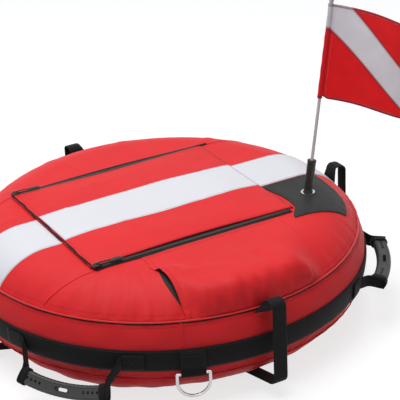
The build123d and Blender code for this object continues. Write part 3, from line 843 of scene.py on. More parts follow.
    def section(self, azimuth: Level, angle_deg: Level, offset: Level = 0.0) -> Array:
        """Points round the ring: r = ring_r + (R + offset) cos, z = section_z + (R + offset) sin.

        Args:
            azimuth: Azimuth in radians.
            angle_deg: Angle round the section in degrees, up from level.
            offset: Distance off the skin.
        Returns:
            Points.
        """
        azimuth, angle = np.broadcast_arrays(azimuth, np.radians(angle_deg))
        radius = self.section_r + offset
        r = self.ring_r + radius * np.cos(angle)
        return xyz(r * np.cos(azimuth), r * np.sin(azimuth), self.section_z + radius * np.sin(angle))

    def uv(self, azimuth: Array, angle_deg: Array, middle_deg: float = 0.0) -> Array:
        """UV of cloth on the ring: length round the belt, and length round the section from a middle line."""
        return xyz(azimuth * self.belt_r, np.radians(angle_deg - middle_deg) * self.section_r)

    def side_lift(self, azimuth: Level, angle_deg: Level) -> Level:
        """Height of the folds on the side band: gathers at both seams and slanting creases under the belt.

        Args:
            azimuth: Azimuth in radians.
            angle_deg: Angle round the section.
        Returns:
            Heights in millimetres.
        """
        steep = np.abs(angle_deg)
        height = self.side_gather_height * np.exp(-(self.seam_deg - steep) / self.side_gather_deg)
        at_seam = smoothstep(steep, self.seam_deg - 0.6, self.seam_deg)
        value = height * ripples(azimuth, self.side_gathers) * (1 - at_seam * 0.8)
        for centre, slope, spread, height in self.creases:
            off = ((np.degrees(azimuth) - centre + 180) % 360 - 180) * 7.0 - (angle_deg + 22.0) * slope * 2.0
            value = value + height * bell(off, 0.0, self.crease_half) * bell(angle_deg, -24.0, spread)
        wide = 0.8 * np.sin(23 * azimuth + 0.7) * np.sin(np.radians(angle_deg) * 9)
        belt = window(angle_deg, (-23.0, -18.5), (5.3, 9.5))
        return (value + wide) * (1 - belt) - 0.5 * belt

    def low_lift(self, azimuth: Array, angle_deg: Array) -> Array:
        """Height of the folds under the lower seam: slanting drapes, and slack by the near left handle.

        Args:
            azimuth: Azimuth in radians.
            angle_deg: Angle round the section.
        Returns:
            Heights in millimetres.
        """
        drapes = np.sin(26 * azimuth - angle_deg * 0.11) + 0.6 * np.sin(45 * azimuth + angle_deg * 0.16 + 1.0)
        place, half, height = self.sag
        sag = height * bell((np.degrees(azimuth) - place + 180) % 360 - 180, 0.0, half)
        return window(-angle_deg, (self.seam_deg, 37.0), (72.0, 90.0)) * (0.7 * drapes + sag) - 0.4


SKIN = Skin()


@dataclass(frozen=True)
class Mast:
    """The leaning line of the mast, from which the flag, its sleeve and the socket's sleeve are measured."""

    foot: tuple = (252.0, -141.02, 230.8)
    lean: tuple = (0.107, -0.061)

    def axes(self) -> tuple:
        """Works out the mast's frame from its foot and its lean.

        Returns:
            Foot of the mast, the two directions square to it and its own direction.
        """
        axis = unit(np.array([*self.lean, 1.0]))
        x = unit(np.array([1.0, 0.0, -self.lean[0]]))
        x = unit(x - axis * np.dot(x, axis))
        return np.array(self.foot), x, np.cross(axis, x), axis

    def place(self, x: Array, y: Array, height: Array) -> Array:
        """Points at distances along the mast's three directions from its foot."""
        foot, across, aside, axis = self.axes()
        return foot + across * x[..., None] + aside * y[..., None] + axis * height[..., None]

    def outward(self, points: Array) -> Array:
        """Direction away from the mast's line at points."""
        foot, _, _, axis = self.axes()
        return points - foot - axis * ((points - foot) @ axis)[:, None]


MAST = Mast()


# Sub-assemblies


@dataclass
class SubAssembly:
    """Pieces of the buoy that are made together, each built and mounted in turn."""

    palette: Palette


@dataclass
class Cover(SubAssembly):
    """Red cover: top panel, side band, bottom panel and inner lining, with piped seams."""

    thickness: float = 2.0
    opening_centre: tuple = (-29.0, -2.5)
    opening_half: tuple = (207.0, 169.5)
    bottom_deg: float = -122.0
    lining_deg: float = -257.0
    rim_bead: float = 3.8
    lower_bead: float = 2.6
    bead_off: float = 1.7
    around: int = 384
    # Rows of stitches round the ring: angles on the section, and the radius of the row on the top panel
    stitch_deg: tuple = (25.4, -25.4, -34.5)
    stitch_r: float = 377.5
    # Seams that run off the lid's corners: start x, y, end x, y
    corner_seams: tuple = (
        (187.0, 185.0, 334.0, 184.0), (-246.0, 184.0, -338.0, 174.0), (-247.0, -189.0, -339.0, -172.0),
    )
    upright_seams_deg: tuple = (-114.0, 66.0, 156.0, -24.0)

    def build(self) -> Iterator[Piece]:
        """Builds the panels and their seams.

        Returns:
            The pieces.
        """
        red, black = self.palette.red, self.palette.black
        yield mount(self.top_panel(), Body.BUOY, Slot.RED, "ring_cover")
        azimuth = np.linspace(0, TURN, self.around + 1)
        for name, first, last, count, lift, cloth, slot in (
            ("side_band", SKIN.seam_deg, -SKIN.seam_deg, 33, SKIN.side_lift, red, Slot.RED),
            ("bottom_panel", -SKIN.seam_deg, self.bottom_deg, 25, SKIN.low_lift, red, Slot.RED),
            ("inner_lining", self.bottom_deg, self.lining_deg, 25, SKIN.low_lift, black, Slot.BLACK),
        ):
            a, g = grid(azimuth, np.linspace(first, last, count))
            points = SKIN.section(a, g, lift(a, g))
            band = sheet_object(
                name, points[:-1], SKIN.uv(a, g), cloth, SKIN.from_core, self.thickness / 2, closed=True)
            yield mount(band, Body.BUOY, slot)
        yield from self.beads()
        yield from self.stitched_seams()

    def top_panel(self) -> Piece:
        """Top panel, from the compartment's opening to the rim seam.

        Each row follows a ray from the opening's middle, which leaves the opening's rectangle at
        min(hx / |cos|, hy / |sin|) and meets the rim circle at the positive root of |c + t d| = r.

        Returns:
            The panel.
        """
        angle = np.linspace(0, TURN, self.around + 1)
        direction = xyz(np.cos(angle), np.sin(angle))
        start = np.min(np.array(self.opening_half) / np.maximum(np.abs(direction), 1e-6), axis=1)
        centre = np.array(self.opening_centre)
        rim_r = SKIN.ring_r + SKIN.section_r * math.cos(math.radians(SKIN.seam_deg))
        along = direction @ centre
        end = -along + np.sqrt(along**2 + rim_r**2 - centre @ centre)
        reach = start[:, None] + (end - start)[:, None] * np.linspace(0, 1, 61) ** 0.9
        plan = centre + direction[:, None, :] * reach[..., None]
        return sheet_object(
            "top_panel", SKIN.top(plan[:-1, :, 0], plan[:-1, :, 1]), plan, self.palette.red, upward,
            self.thickness, closed=True, lining=self.palette.black,
        )

    def beads(self) -> Iterator[Piece]:
        """Piping beads in both seams, slightly uneven, and a dark strip under the upper one that is painted
        shade along the seam.

        Returns:
            The pieces.
        """
        azimuth = around(self.around)
        wobble = ripples(azimuth, ((0.25, 67, 0.0), (0.2, 111, 1.0)))
        # The rim bead's paler piping red is a painted highlight along the seam.
        for name, node, angle, size, finish in (
            ("rim_bead", "rim_piping", SKIN.seam_deg, self.rim_bead, self.palette.piping),
            ("lower_bead", "lower_piping", -SKIN.seam_deg, self.lower_bead, self.palette.red),
        ):
            path = SKIN.section(azimuth, angle, self.bead_off + wobble)
            bead = strap_object(name, path, SKIN.from_core(path), size, size - 0.4, finish, True)
            yield mount(bead, Body.BUOY, Slot.PIPING, node)
        # Near-black strip just under the rim bead: painted shade along the seam.
        path = SKIN.section(azimuth, SKIN.seam_deg - 1.35, 0.7)
        level = SKIN.section(azimuth, SKIN.seam_deg - 4.0, 0.75) - path
        tape = strap_object("rim_seam_painted_shade_line", path, level, 2.4, 1.0, self.palette.tape, True)
        yield mount(tape, Body.BUOY, Slot.BLACK)

    def stitched_seams(self) -> Iterator[Piece]:
        """Rows of topstitching, the seams off the lid's corners and the upright seams of the side band.

        Returns:
            The pieces.
        """
        thread, red = Stitching(), self.palette.red
        dense = np.linspace(0, TURN, 1200)
        for angle in self.stitch_deg:
            fold = SKIN.side_lift(dense, angle) if angle > -SKIN.seam_deg else 0.0
            thread.row(SKIN.section(dense, angle, fold + 0.25))
        thread.row(SKIN.top(self.stitch_r * np.cos(dense), self.stitch_r * np.sin(dense), 0.25))
        t = np.linspace(0, 1, 40)
        for number, (x0, y0, x1, y1) in enumerate(self.corner_seams, start=1):
            x, y = x0 + (x1 - x0) * t, y0 + (y1 - y0) * t
            line = SKIN.top(x, y, 0.35)
            across = np.array([y1 - y0, x0 - x1, 0.0])
            seam = strap_object(f"corner_seam_{number}", line, across, 3.2, 1.1, red)
            yield mount(seam, Body.BUOY, Slot.RED)
            thread.row(SKIN.top(x + 3.4, y - 2.0, 0.25), SKIN.normal(line))
        angle = np.linspace(29.0, 6.0, 24)
        for number, azimuth in enumerate(np.radians(self.upright_seams_deg), start=1):
            line = SKIN.section(azimuth, angle, SKIN.side_lift(azimuth, angle) + 0.45)
            along = compass(azimuth)[1]
            seam = strap_object(f"upright_seam_{number}", line, along, 4.0, 1.0, red)
            yield mount(seam, Body.BUOY, Slot.RED)
            thread.row(line + along * 4.5, SKIN.normal(line))
        yield thread.build("cover_stitching", self.palette.red_thread, Body.BUOY, Slot.RED)


@dataclass
class Belt(SubAssembly):
    """Wide webbing sewn round the ring below the rim."""

    low_deg: float = -17.99
    high_deg: float = 4.83
    outer: float = 2.8
    thickness: float = 2.3
    stitch_deg: float = 1.6

    def build(self) -> Iterator[Piece]:
        """Builds the belt, thinner at its edges by 0.5 |v|^6, and its two rows of stitches.

        Returns:
            The pieces.
        """
        a, g = grid(np.linspace(0, TURN, 361), np.linspace(self.low_deg, self.high_deg, 9))
        lift = self.outer - 0.5 * np.abs(np.linspace(-1, 1, 9)) ** 6 + 0.12 * np.sin(47 * a)
        uv = SKIN.uv(a, g, (self.low_deg + self.high_deg) / 2)
        points = SKIN.section(a, g, lift)[:-1]
        belt = sheet_object(
            "belt_webbing", points, uv, self.palette.belt, SKIN.from_core, self.thickness, closed=True)
        yield mount(belt, Body.BUOY, Slot.WEBBING, "belt")
        thread = Stitching(thick=0.5)
        for angle in (self.low_deg + self.stitch_deg, self.high_deg - self.stitch_deg):
            thread.row(SKIN.section(np.linspace(0, TURN, 1200), angle, self.outer + 0.1))
        yield thread.build("belt_stitching", self.palette.black_thread, Body.BUOY, Slot.WEBBING)


@dataclass
class Loops(SubAssembly):
    """Four webbing loops from the rim seam round the outside and under the ring to the line ring."""

    width: float = 29.0
    thickness: float = 2.4
    mid_off: float = 1.55
    out_r: float = 430.0
    low_deg: float = -76.7
    root_extra: float = 14.0
    # Middle line: the outside's corners, along the belly, and back from the eye round the line ring, as r, z
    top_in: tuple = (405.0, 199.0)
    top_z: float = 197.0
    bottom_z: float = 32.0
    belly: tuple = ((160.0, 1.25), (90.0, 1.25), (34.0, 1.25))
    eye: tuple = (30.0, 6.1, 4.85)
    turned_back: tuple = ((50.0, 10.9), (74.0, 10.5), (82.0, 5.0))

    def profile(self) -> Array:
        """Middle line of a loop, with arcs under the ring and round the line ring.

        Returns:
            Radius and height of each point, from the rim seam to the sewn end past the line ring.
        """
        seam, *under = (
            (SKIN.ring_r + (SKIN.section_r + self.mid_off) * math.cos(angle),
             SKIN.section_z + (SKIN.section_r + self.mid_off) * math.sin(angle))
            for angle in np.radians([25.0, *np.linspace(self.low_deg, -90, 6)])
        )
        outside = (self.top_in, (self.out_r, self.top_z), (self.out_r, self.bottom_z))
        corners = [(r, 0.0, z) for r, z in (seam, *outside, under[0])]
        outer = fillet_path(corners, [12.0, 12.0, 20.0], 9)[:, [0, 2]]
        turn, (eye_r, eye_z, radius) = np.radians(np.linspace(-90, -270, 9)), self.eye
        eye = xyz(eye_r + radius * np.cos(turn), eye_z + radius * np.sin(turn))
        return np.concatenate([outer, under[1:], self.belly, eye, self.turned_back])

    def build(self) -> Iterator[Piece]:
        """Builds the four straps, each wider at its root, turned round the line ring and sewn back on itself.

        Returns:
            The pieces.
        """
        thread, profile = Stitching(thick=0.5), self.profile()
        row = np.linspace(-11, 11, 12)[:, None]
        for name, degrees in (("right", 0), ("rear", 90), ("left", 180), ("front", -90)):
            out, along = compass(math.radians(degrees))
            path = profile[:, :1] * out + profile[:, 1:] * UP
            root = 1 - smoothstep(run_length(path), 4.0, 36.0)
            path = path - along * root[:, None] * self.root_extra / 2
            width, webbing = self.width + self.root_extra * root, self.palette.strap
            strap = strap_object(f"loop_{name}_webbing", path, along, width, self.thickness, webbing)
            yield mount(strap, Body.BUOY, Slot.WEBBING, f"loop_{name}")
            for z in (177.0, 168.0):
                thread.row(out * (self.out_r + 1.2) + row * along + UP * z, out)
            for r in (52.0, 66.0):
                thread.row(out * r + row * along + UP * 0.05, -UP)
        yield thread.build("loop_stitching", self.palette.black_thread, Body.BUOY, Slot.WEBBING)


@dataclass(frozen=True)
class GripPlane:
    """Plane of one grip: its middle, its three directions and the radius and half angle of its bow."""

    centre: Array
    along: Array
    lean: Array
    face: Array
    bow: float
    bow_r: float
    half: float

    def point(self, angle: Level, radius: Level) -> Array:
        """Points on the grip's bow: centre + lean (r cos t - R + bow / 2) + along r sin t."""
        away, aside = radius * np.cos(angle) - self.bow_r + self.bow / 2, radius * np.sin(angle)
        return self.centre + self.lean * away[..., None] + self.along * aside[..., None]


@dataclass
class Handles(SubAssembly):
    """Four webbing handles on the belt, each carrying a moulded grip."""

    # Azimuth, droop below level, reach out from the belt
    places: tuple = ((-144.0, 53.0, 62.0), (-36.0, 8.0, 38.0), (36.0, 30.0, 46.0), (144.0, 45.0, 54.0))
    half_deg: float = 13.65
    patch_deg: float = 6.5
    web: float = 29.0
    thickness: float = 2.4
    grip_l: float = 166.0
    grip_w: float = 28.0
    grip_t: float = 17.0
    bow: float = 11.0
    belt_deg: float = -6.45
    cuff_gap: float = 1.7
    slot_half: float = 10.0
    slot_r: float = 4.6
    # Corners of a patch's stitched box and its cross: millimetres along the belt and up it
    box: tuple = ((0.8, -13.5), (5.9, -13.5), (5.9, 13.5), (0.8, 13.5), (0.8, -13.5), (5.9, 13.5))
    cross: tuple = ((5.9, -13.5), (0.8, 13.5))

    def plane(self, azimuth: float, droop: float, reach: float) -> GripPlane:
        """Plane of a grip that droops from the belt.

        Args:
            azimuth: Place round the ring in degrees.
            droop: Angle below level in degrees.
            reach: Distance from the belt to the grip's middle.
        Returns:
            The plane.
        """
        (out, along), drop = compass(math.radians(azimuth)), math.radians(droop)
        root = SKIN.section(0.0, self.belt_deg, 5.9)
        lean = out * math.cos(drop) - UP * math.sin(drop)
        centre = out * root[0] * math.cos(math.radians(self.half_deg)) + UP * root[2] + lean * reach
        bow_r = ((self.grip_l / 2) ** 2 + self.bow**2) / (2 * self.bow)
        face, half = out * math.sin(drop) + UP * math.cos(drop), math.asin(self.grip_l / 2 / bow_r)
        return GripPlane(centre, along, lean, face, self.bow, bow_r, half)

    def build(self) -> Iterator[Piece]:
        """Builds the webbing, its sewn patches and the grips' raised rims.

        Returns:
            The pieces.
        """
        thread, patches = Stitching(length=2.6, pitch=3.6, thick=0.5), []
        for number, (azimuth, droop, reach) in enumerate(self.places, start=1):
            plane = self.plane(azimuth, droop, reach)
            for side, letter in ((-1, "a"), (1, "b")):
                first = math.radians(azimuth) + side * math.radians(self.half_deg)
                nodes = (f"handle_web_{number}",) if side < 0 else ()
                web = self.strap(f"handle_strap_{number}_{letter}", plane, math.radians(azimuth), side, first)
                yield mount(web, Body.BUOY, Slot.WEBBING, *nodes)
                yield mount(self.cuff(f"handle_cuff_{number}_{letter}", plane, side), Body.BUOY, Slot.WEBBING)
                patches.append(self.patch(first, side))
                for (d0, h0), (d1, h1) in [*pairwise(self.box), *pairwise(self.cross)]:
                    t = np.linspace(0, 1, 12)
                    turn = first + side * np.radians(0.6 + (d0 + (d1 - d0) * t) * 0.93)
                    high = self.belt_deg + np.degrees((h0 + (h1 - h0) * t) / SKIN.section_r)
                    thread.row(SKIN.section(turn, high, 6.85))
            yield from self.grip_rims(number, plane)
        for index, (points, uv) in enumerate(patches, start=1):
            patch = sheet_object(f"handle_patch_{index}", points, uv, self.palette.strap, SKIN.from_core, 1.0)
            yield mount(patch, Body.BUOY, Slot.WEBBING, *(("handle_patches",) if index == 1 else ()))
        yield thread.build("handle_stitching", self.palette.black_thread, Body.BUOY, Slot.WEBBING)

    def strap(self, name: str, plane: GripPlane, azimuth: float, side: int, first: float) -> Piece:
        """Webbing from the belt to one end of a grip, twisting from upright to the grip's face on the way.

        Args:
            name: Object name.
            plane: Plane of the grip.
            azimuth: Place of the grip's middle in radians.
            side: -1 or 1 for the grip's two ends.
            first: Azimuth where the webbing leaves the belt.
        Returns:
            The strap.
        """
        lay = SKIN.section(first + side * np.radians([6.3, 3.5, 0.7]), self.belt_deg, 4.4)
        end, half = np.array([side * plane.half]), plane.half
        end_out = plane.along * side * math.cos(half) - plane.lean * math.sin(half)
        heel = plane.point(end, plane.bow_r - self.grip_w * 0.62)[0] + end_out * 5.0
        tip = plane.point(end, plane.bow_r + self.grip_w * 0.5)[0] + end_out * 1.9
        path = fillet_path([*lay, heel, tip], [3.0, 7.0, 16.0], 8)
        share = smoothstep(np.linspace(0, 1, len(path)), 0.3, 0.95)
        slope = math.radians(-self.belt_deg)
        rise = UP * math.cos(slope) + compass(azimuth)[0] * math.sin(slope)
        across = rise * (1 - share)[:, None] + plane.face * share[:, None]
        return strap_object(name, path, across, self.web - 5.0 * share, self.thickness, self.palette.strap)

    def cuff(self, name: str, plane: GripPlane, side: int) -> Piece:
        """Webbing cuff round one end of a grip, a superellipse a little larger than the grip's section.

        Args:
            name: Object name.
            plane: Plane of the grip.
            side: -1 or 1 for the grip's two ends.
        Returns:
            The cuff.
        """
        turn, phi = side * (plane.half - 0.005), around(40)
        radial = plane.lean * math.cos(turn) + plane.along * math.sin(turn)
        wide = power(np.cos(phi), 0.6) * (self.grip_w / 2 + self.cuff_gap)
        tall = power(np.sin(phi), 0.7) * (self.grip_t / 2 + self.cuff_gap)
        middle = plane.point(np.array([turn]), plane.bow_r)[0]
        axis = plane.along * math.cos(turn) - plane.lean * math.sin(turn)
        path = middle + radial * wide[:, None] + plane.face * tall[:, None]
        return strap_object(name, path, axis, 15.0, 2.6, self.palette.strap, True)

    def patch(self, first: float, side: int) -> tuple:
        """Patch that covers a strap's sewn end on the belt, thinner at its edges by 0.5 |v|^4.

        Args:
            first: Azimuth where the webbing leaves the belt.
            side: -1 or 1 for the grip's two ends.
        Returns:
            Points and UV.
        """
        span = first + side * np.radians(np.linspace(1.0, self.patch_deg, 9))
        angle = self.belt_deg + np.degrees(np.linspace(-16.5, 16.5, 9) / SKIN.section_r)
        a, g = grid(span, angle)
        points = SKIN.section(a, g, 6.7 - 0.5 * np.abs(np.linspace(-1, 1, 9)) ** 4)
        return points, SKIN.uv(a, g, self.belt_deg)

    def grip_rims(self, number: int, plane: GripPlane) -> Iterator[Piece]:
        """Raised moulded rim along both edges of a grip's upper face, and the lip round its slot.

        Args:
            number: Number of the handle.
            plane: Plane of the grip.
        Returns:
            The pieces.
        """
        t, grip = np.linspace(-plane.half * 0.97, plane.half * 0.97, 61), self.palette.grip
        for name, offset in (("inner", 5.2 - self.grip_w / 2), ("outer", self.grip_w / 2 - 5.2)):
            path = plane.point(t, plane.bow_r + offset) + plane.face * (self.grip_t / 2 - 0.2)
            rim = strap_object(f"grip_rim_{number}_{name}", path, plane.lean, 2.4, 1.6, grip)
            yield mount(rim, Body.BUOY, Slot.GRIP)
        turn = around(32)
        across = (np.sign(np.cos(turn)) * self.slot_half + self.slot_r * np.cos(turn)) / plane.bow_r
        slot = plane.point(across, plane.bow_r + self.slot_r * np.sin(turn)) + plane.face * (self.grip_t / 2)
        lip = strap_object(f"grip_lip_{number}", slot, plane.face, 1.6, 1.6, grip, True)
        yield mount(lip, Body.BUOY, Slot.GRIP)


@dataclass
class RingKeepers(SubAssembly):
    """Webbing keepers that hold the two D-rings on the belt."""

    places: tuple = (-111.5, 68.5)
    width: float = 46.0
    bar_deg: float = -20.6
    bar_off: float = 7.1
    wrap_r: float = 5.55
    row_r: float = 403.0
    row_off: float = 6.7

    def build(self) -> Iterator[Piece]:
        """Builds each keeper: a flat tab on the belt and an arc of wrap_r round the D-ring's bar.

        Returns:
            The pieces.
        """
        thread = Stitching(length=2.6, pitch=3.6, thick=0.5)
        for number, azimuth in enumerate(np.radians(self.places), start=1):
            (out, along), tilt = compass(azimuth), math.radians(self.bar_deg)
            bar = SKIN.section(azimuth, self.bar_deg, self.bar_off)
            off = out * math.cos(tilt) + UP * math.sin(tilt)
            down = out * math.sin(tilt) - UP * math.cos(tilt)
            turn = np.radians(np.linspace(-80, 100, 13))[:, None]
            wrap = bar + off * (self.wrap_r * np.cos(turn)) + down * (self.wrap_r * np.sin(turn))
            flat = SKIN.section(azimuth, np.linspace(3.4, -15.0, 10), 5.4)
            path = np.concatenate([flat, wrap, SKIN.section(azimuth, np.array([-23.0, -20.5]), 2.2)])
            strap = strap_object(f"keeper_strap_{number}", path, along, self.width, 2.3, self.palette.keeper)
            yield mount(strap, Body.BUOY, Slot.WEBBING, f"ring_keeper_{number}")
            for angle in (1.6, -1.5, -11.5):
                thread.row(SKIN.section(azimuth + np.linspace(-20, 20, 16) / self.row_r, angle, self.row_off))
            for shift in (-20.0, 20.0):
                side = azimuth + shift / self.row_r
                thread.row(SKIN.section(side, np.linspace(2.0, -12.0, 12), self.row_off))
        yield thread.build("keeper_stitching", self.palette.black_thread, Body.BUOY, Slot.WEBBING)


@dataclass
class Lid(SubAssembly):
    """Zipped lid over the compartment: crowned red panel, white stripe, bound left edge."""

    low_z: float = 232.5
    thickness: float = 3.0
    crown: float = 4.5
    draw_in: float = 5.0
    stripe_x: tuple = (-239.5, 186.6)
    stripe_y: tuple = (-62.0, 57.0)
    binding_x: float = -243.2
    hinge: tuple = (189.6, 232.0)

    def bow(self, x: Array) -> Array:
        """How far the long edges draw in beside the zips: draw_in sin^2 along the lid."""
        share = (x - SKIN.lid_x[0]) / (SKIN.lid_x[1] - SKIN.lid_x[0])
        return self.draw_in * np.sin(np.pi * share) ** 2

    def height(self, x: Array, y: Array) -> Array:
        """Top of the lid: low_z + t + crown (1 - |u|^3)(1 - |v|^3) and slow waves, with u, v from -1 to 1.

        Args:
            x: Plan coordinate.
            y: Plan coordinate.
        Returns:
            Heights in millimetres.
        """
        (x0, x1), (y0, y1) = SKIN.lid_x, SKIN.lid_y
        u, v = (x - (x0 + x1) / 2) / ((x1 - x0) / 2), (y - (y0 + y1) / 2) / ((y1 - y0) / 2)
        inside = np.clip(1 - np.abs(u) ** 3, 0, 1) * np.clip(1 - np.abs(v) ** 3, 0, 1)
        waves = 0.8 * np.sin(x / 47.0 + 1.3 * np.sin(y / 60.0)) + 0.6 * np.sin(y / 33.0 + x / 90.0)
        creases = 0.7 * bell(x + y * 0.6, -150, 9.0) - 0.6 * bell(x - y * 0.5, 90, 11.0)
        return self.low_z + self.thickness + (self.crown + waves + creases) * np.minimum(1, inside * 1.6)

    def surface(self, x: Level, y: Level, offset: float = 0.0) -> Array:
        """Points on the lid's top over plan points."""
        return xyz(x, y, self.height(x, y) + offset)

    def build(self) -> Iterator[Piece]:
        """Builds the panel, the stripe with its edges turned under, the wavy binding and the hinge seam.

        Returns:
            The pieces.
        """
        palette, (low, high) = self.palette, SKIN.lid_y
        x, t = grid(np.linspace(*SKIN.lid_x, 97), np.linspace(0, 1, 81))
        y = low + self.bow(x) + (high - low - 2 * self.bow(x)) * t
        panel = sheet_object(
            "lid_panel", self.surface(x, y), xyz(x, y), palette.red, upward, self.thickness,
            lining=palette.black,
        )
        yield mount(panel, Body.LID, Slot.RED, "lid")
        x, y = grid(np.linspace(*self.stripe_x, 97), np.linspace(*self.stripe_y, 33))
        edge = smoothstep(np.minimum(y - self.stripe_y[0], self.stripe_y[1] - y), 0.0, 3.0)
        wavy = y + 0.7 * np.sin(x / 21.0) * (np.abs(y) > 50)
        points = self.surface(x, wavy, 0.9) - (1 - edge[..., None]) * UP * 0.5
        stripe = sheet_object("lid_stripe_cloth", points, xyz(x, y), palette.white, upward, 0.8)
        yield mount(stripe, Body.LID, Slot.WHITE, "lid_stripe")
        y = np.linspace(low, high, 120)
        path = self.surface(self.binding_x + 0.7 * np.sin(y / 17.0) + 0.4 * np.sin(y / 6.1), y, 0.1)
        width = 4.4 + 0.8 * np.sin(y / 9.0)
        binding = strap_object("lid_edge_binding", path, ALONG_X, width, 1.9, palette.tape)
        yield mount(binding, Body.LID, Slot.WEBBING, "lid_binding")
        yield from self.stitches()
        for name, first, last in (("front", low, -64.0), ("rear", 59.0, high)):
            line = xyz(self.hinge[0], np.linspace(first, last, 30), self.hinge[1])
            seam = strap_object(f"hinge_seam_{name}", line, ALONG_X, 3.0, 1.6, palette.tape)
            yield mount(seam, Body.BUOY, Slot.BLACK)

    def stitches(self) -> Iterator[Piece]:
        """Rows along the stripe, in white, and round the panel, in red.

        Returns:
            The two pieces of stitches.
        """
        white, red = Stitching(), Stitching()
        x, inset = np.linspace(-236, 185, 200), 5.0
        (low, high), (stripe_low, stripe_high) = SKIN.lid_y, self.stripe_y
        for y in (stripe_low + 3.0, stripe_high - 3.0):
            white.row(self.surface(x, y, 1.1), UP)
        for y in (low + inset + self.bow(x), high - inset - self.bow(x)):
            red.row(self.surface(x, y, 0.2), UP)
        for first, last in ((low + inset, stripe_low - 2), (stripe_high + 2, high - inset)):
            for at in (-235.0, 182.0):
                red.row(self.surface(at, np.linspace(first, last, 60), 0.2), UP)
        yield white.build("lid_stripe_stitching", self.palette.white_thread, Body.LID, Slot.WHITE)
        yield red.build("lid_stitching", self.palette.red_thread, Body.LID, Slot.RED)


@dataclass
class Zips(SubAssembly):
    """Two coil zips along the lid's long edges, with sliders parked at the left."""

    x: tuple = (-239.0, 181.0)
    tape_low_z: float = 231.1
    tape_t: float = 1.4
    lid_tape: float = 13.6
    deck_tape: float = 8.4
    deck_slack: float = 6.0
    overhang: float = 5.0
    tooth_pitch: float = 2.4
    tooth_half: tuple = (0.8, 1.7, 0.9)
    tooth_off: float = 1.8
    rear_run_on: float = 28.0
    # Slider: left end of its body, height of its middle, and the bridge's corners
    slider_x: float = -243.5
    slider_z: float = 235.9
    bridge: tuple = ((-241.5, 237.5), (-239.5, 241.2), (-231.5, 241.2), (-229.5, 237.5))
    pull_ribs_x: tuple = (-200.0, -196.0, -192.0, -188.0)

    def build(self) -> Iterator[Piece]:
        """Builds the tapes, both halves of the coils, the sliders and the end stops.

        Returns:
            The pieces.
        """
        palette, (left, right) = self.palette, self.x
        xs = np.linspace(left, right, 120)
        share = (xs - left) / (right - left)
        mid_z = self.tape_low_z + self.tape_t / 2
        lens = np.sin(np.pi * share) ** 2
        count = int((right - left - 8) / self.tooth_pitch)
        at = left + 4 + (np.arange(count) + 0.5) * self.tooth_pitch
        for name, edge, out in (("front", SKIN.lid_y[0], -1), ("rear", SKIN.lid_y[1], 1)):
            slit = edge + out * self.overhang
            halves = (
                ("lid", Body.LID, -out, self.lid_tape, 0.0),
                ("deck", Body.BUOY, out, self.deck_tape + self.deck_slack * lens, 0.5),
            )
            for half, body, toward, width, _ in halves:
                past_hinge = self.rear_run_on if (half, name) == ("deck", "rear") else 0.0
                line = xyz(xs + past_hinge * share, slit + toward * (0.5 + width / 2), mid_z)
                label = f"zip_tape_{half}_{name}"
                tape = strap_object(label, line, ALONG_Y, width, self.tape_t, palette.tape)
                yield mount(tape, body, Slot.TAPE, f"zip_{half}_{name}")
            for half, body, toward, _, shift in halves:
                centres = xyz(at + shift * self.tooth_pitch, slit + toward * self.tooth_off, mid_z + 0.95)
                axes = np.tile(np.diag(self.tooth_half), (count, 1, 1))
                coil = copies_object(
                    f"zip_coil_{half}_{name}", BLOCK_SHAPE, BLOCK_FACES, centres, axes, palette.teeth)
                rounding = coil.modifiers.new("rounding", "BEVEL")
                rounding.width, rounding.segments = 0.35 * MM, 1
                yield mount(coil, body, Slot.TAPE)
            yield from self.slider(name, slit)
            line = xyz(right - 2.0, np.array([slit - 2.5, slit + 2.5]), mid_z + 1.1)
            stop = strap_object(f"zip_stop_{name}", line, ALONG_X, 3.5, 2.4, palette.slider)
            yield mount(stop, Body.BUOY, Slot.SLIDER)

    def slider(self, name: str, slit: float) -> Iterator[Piece]:
        """Builds one slider parked at the left end: body, bridge, and a looped pull with a flat ribbed tab.

        Args:
            name: Zip name.
            slit: Place of the zip's middle line across the lid.
        Returns:
            The pieces.
        """
        metal, rubber = self.palette.slider, self.palette.pull
        t, phi = np.linspace(0, 1, 11), around(48)
        width = 7.0 + 3.4 * np.sin(np.pi * (0.15 + 0.75 * t))
        line = xyz(self.slider_x + 17.0 * t, slit, self.slider_z)
        body = strap_object(f"slider_body_{name}", line, ALONG_Y, width, 5.6, metal)
        yield mount(body, Body.LID, Slot.SLIDER, f"zip_slider_{name}")
        arch = fillet_path([(x, slit, z) for x, z in self.bridge], [2.0, 2.0])
        x = -219.0 + 14.5 * power(np.cos(phi), 0.5)
        ring = xyz(x, slit + 4.0 * power(np.sin(phi), 0.6), 239.6 - (x + 233.5) / 29.0 * 1.2)
        tab = xyz(-207.5 + 24.0 * t, slit, 238.6 - 0.6 * t)
        pieces = [
            strap_object(f"slider_bridge_{name}", arch, ALONG_Y, 3.0, 1.5, metal),
            strap_object(f"slider_ring_{name}", ring, UP, 2.0, 2.0, metal, True),
            strap_object(f"slider_tab_{name}", tab, ALONG_Y, 8.6 + 1.4 * t, 2.6, rubber),
        ]
        for k, x in enumerate(self.pull_ribs_x):
            rib = xyz(x, np.array([slit - 3.4, slit + 3.4]), 239.5)
            pieces.append(strap_object(f"slider_rib_{name}_{k}", rib, ALONG_X, 1.4, 1.2, rubber))
        yield from (mount(piece, Body.LID, Slot.SLIDER) for piece in pieces)


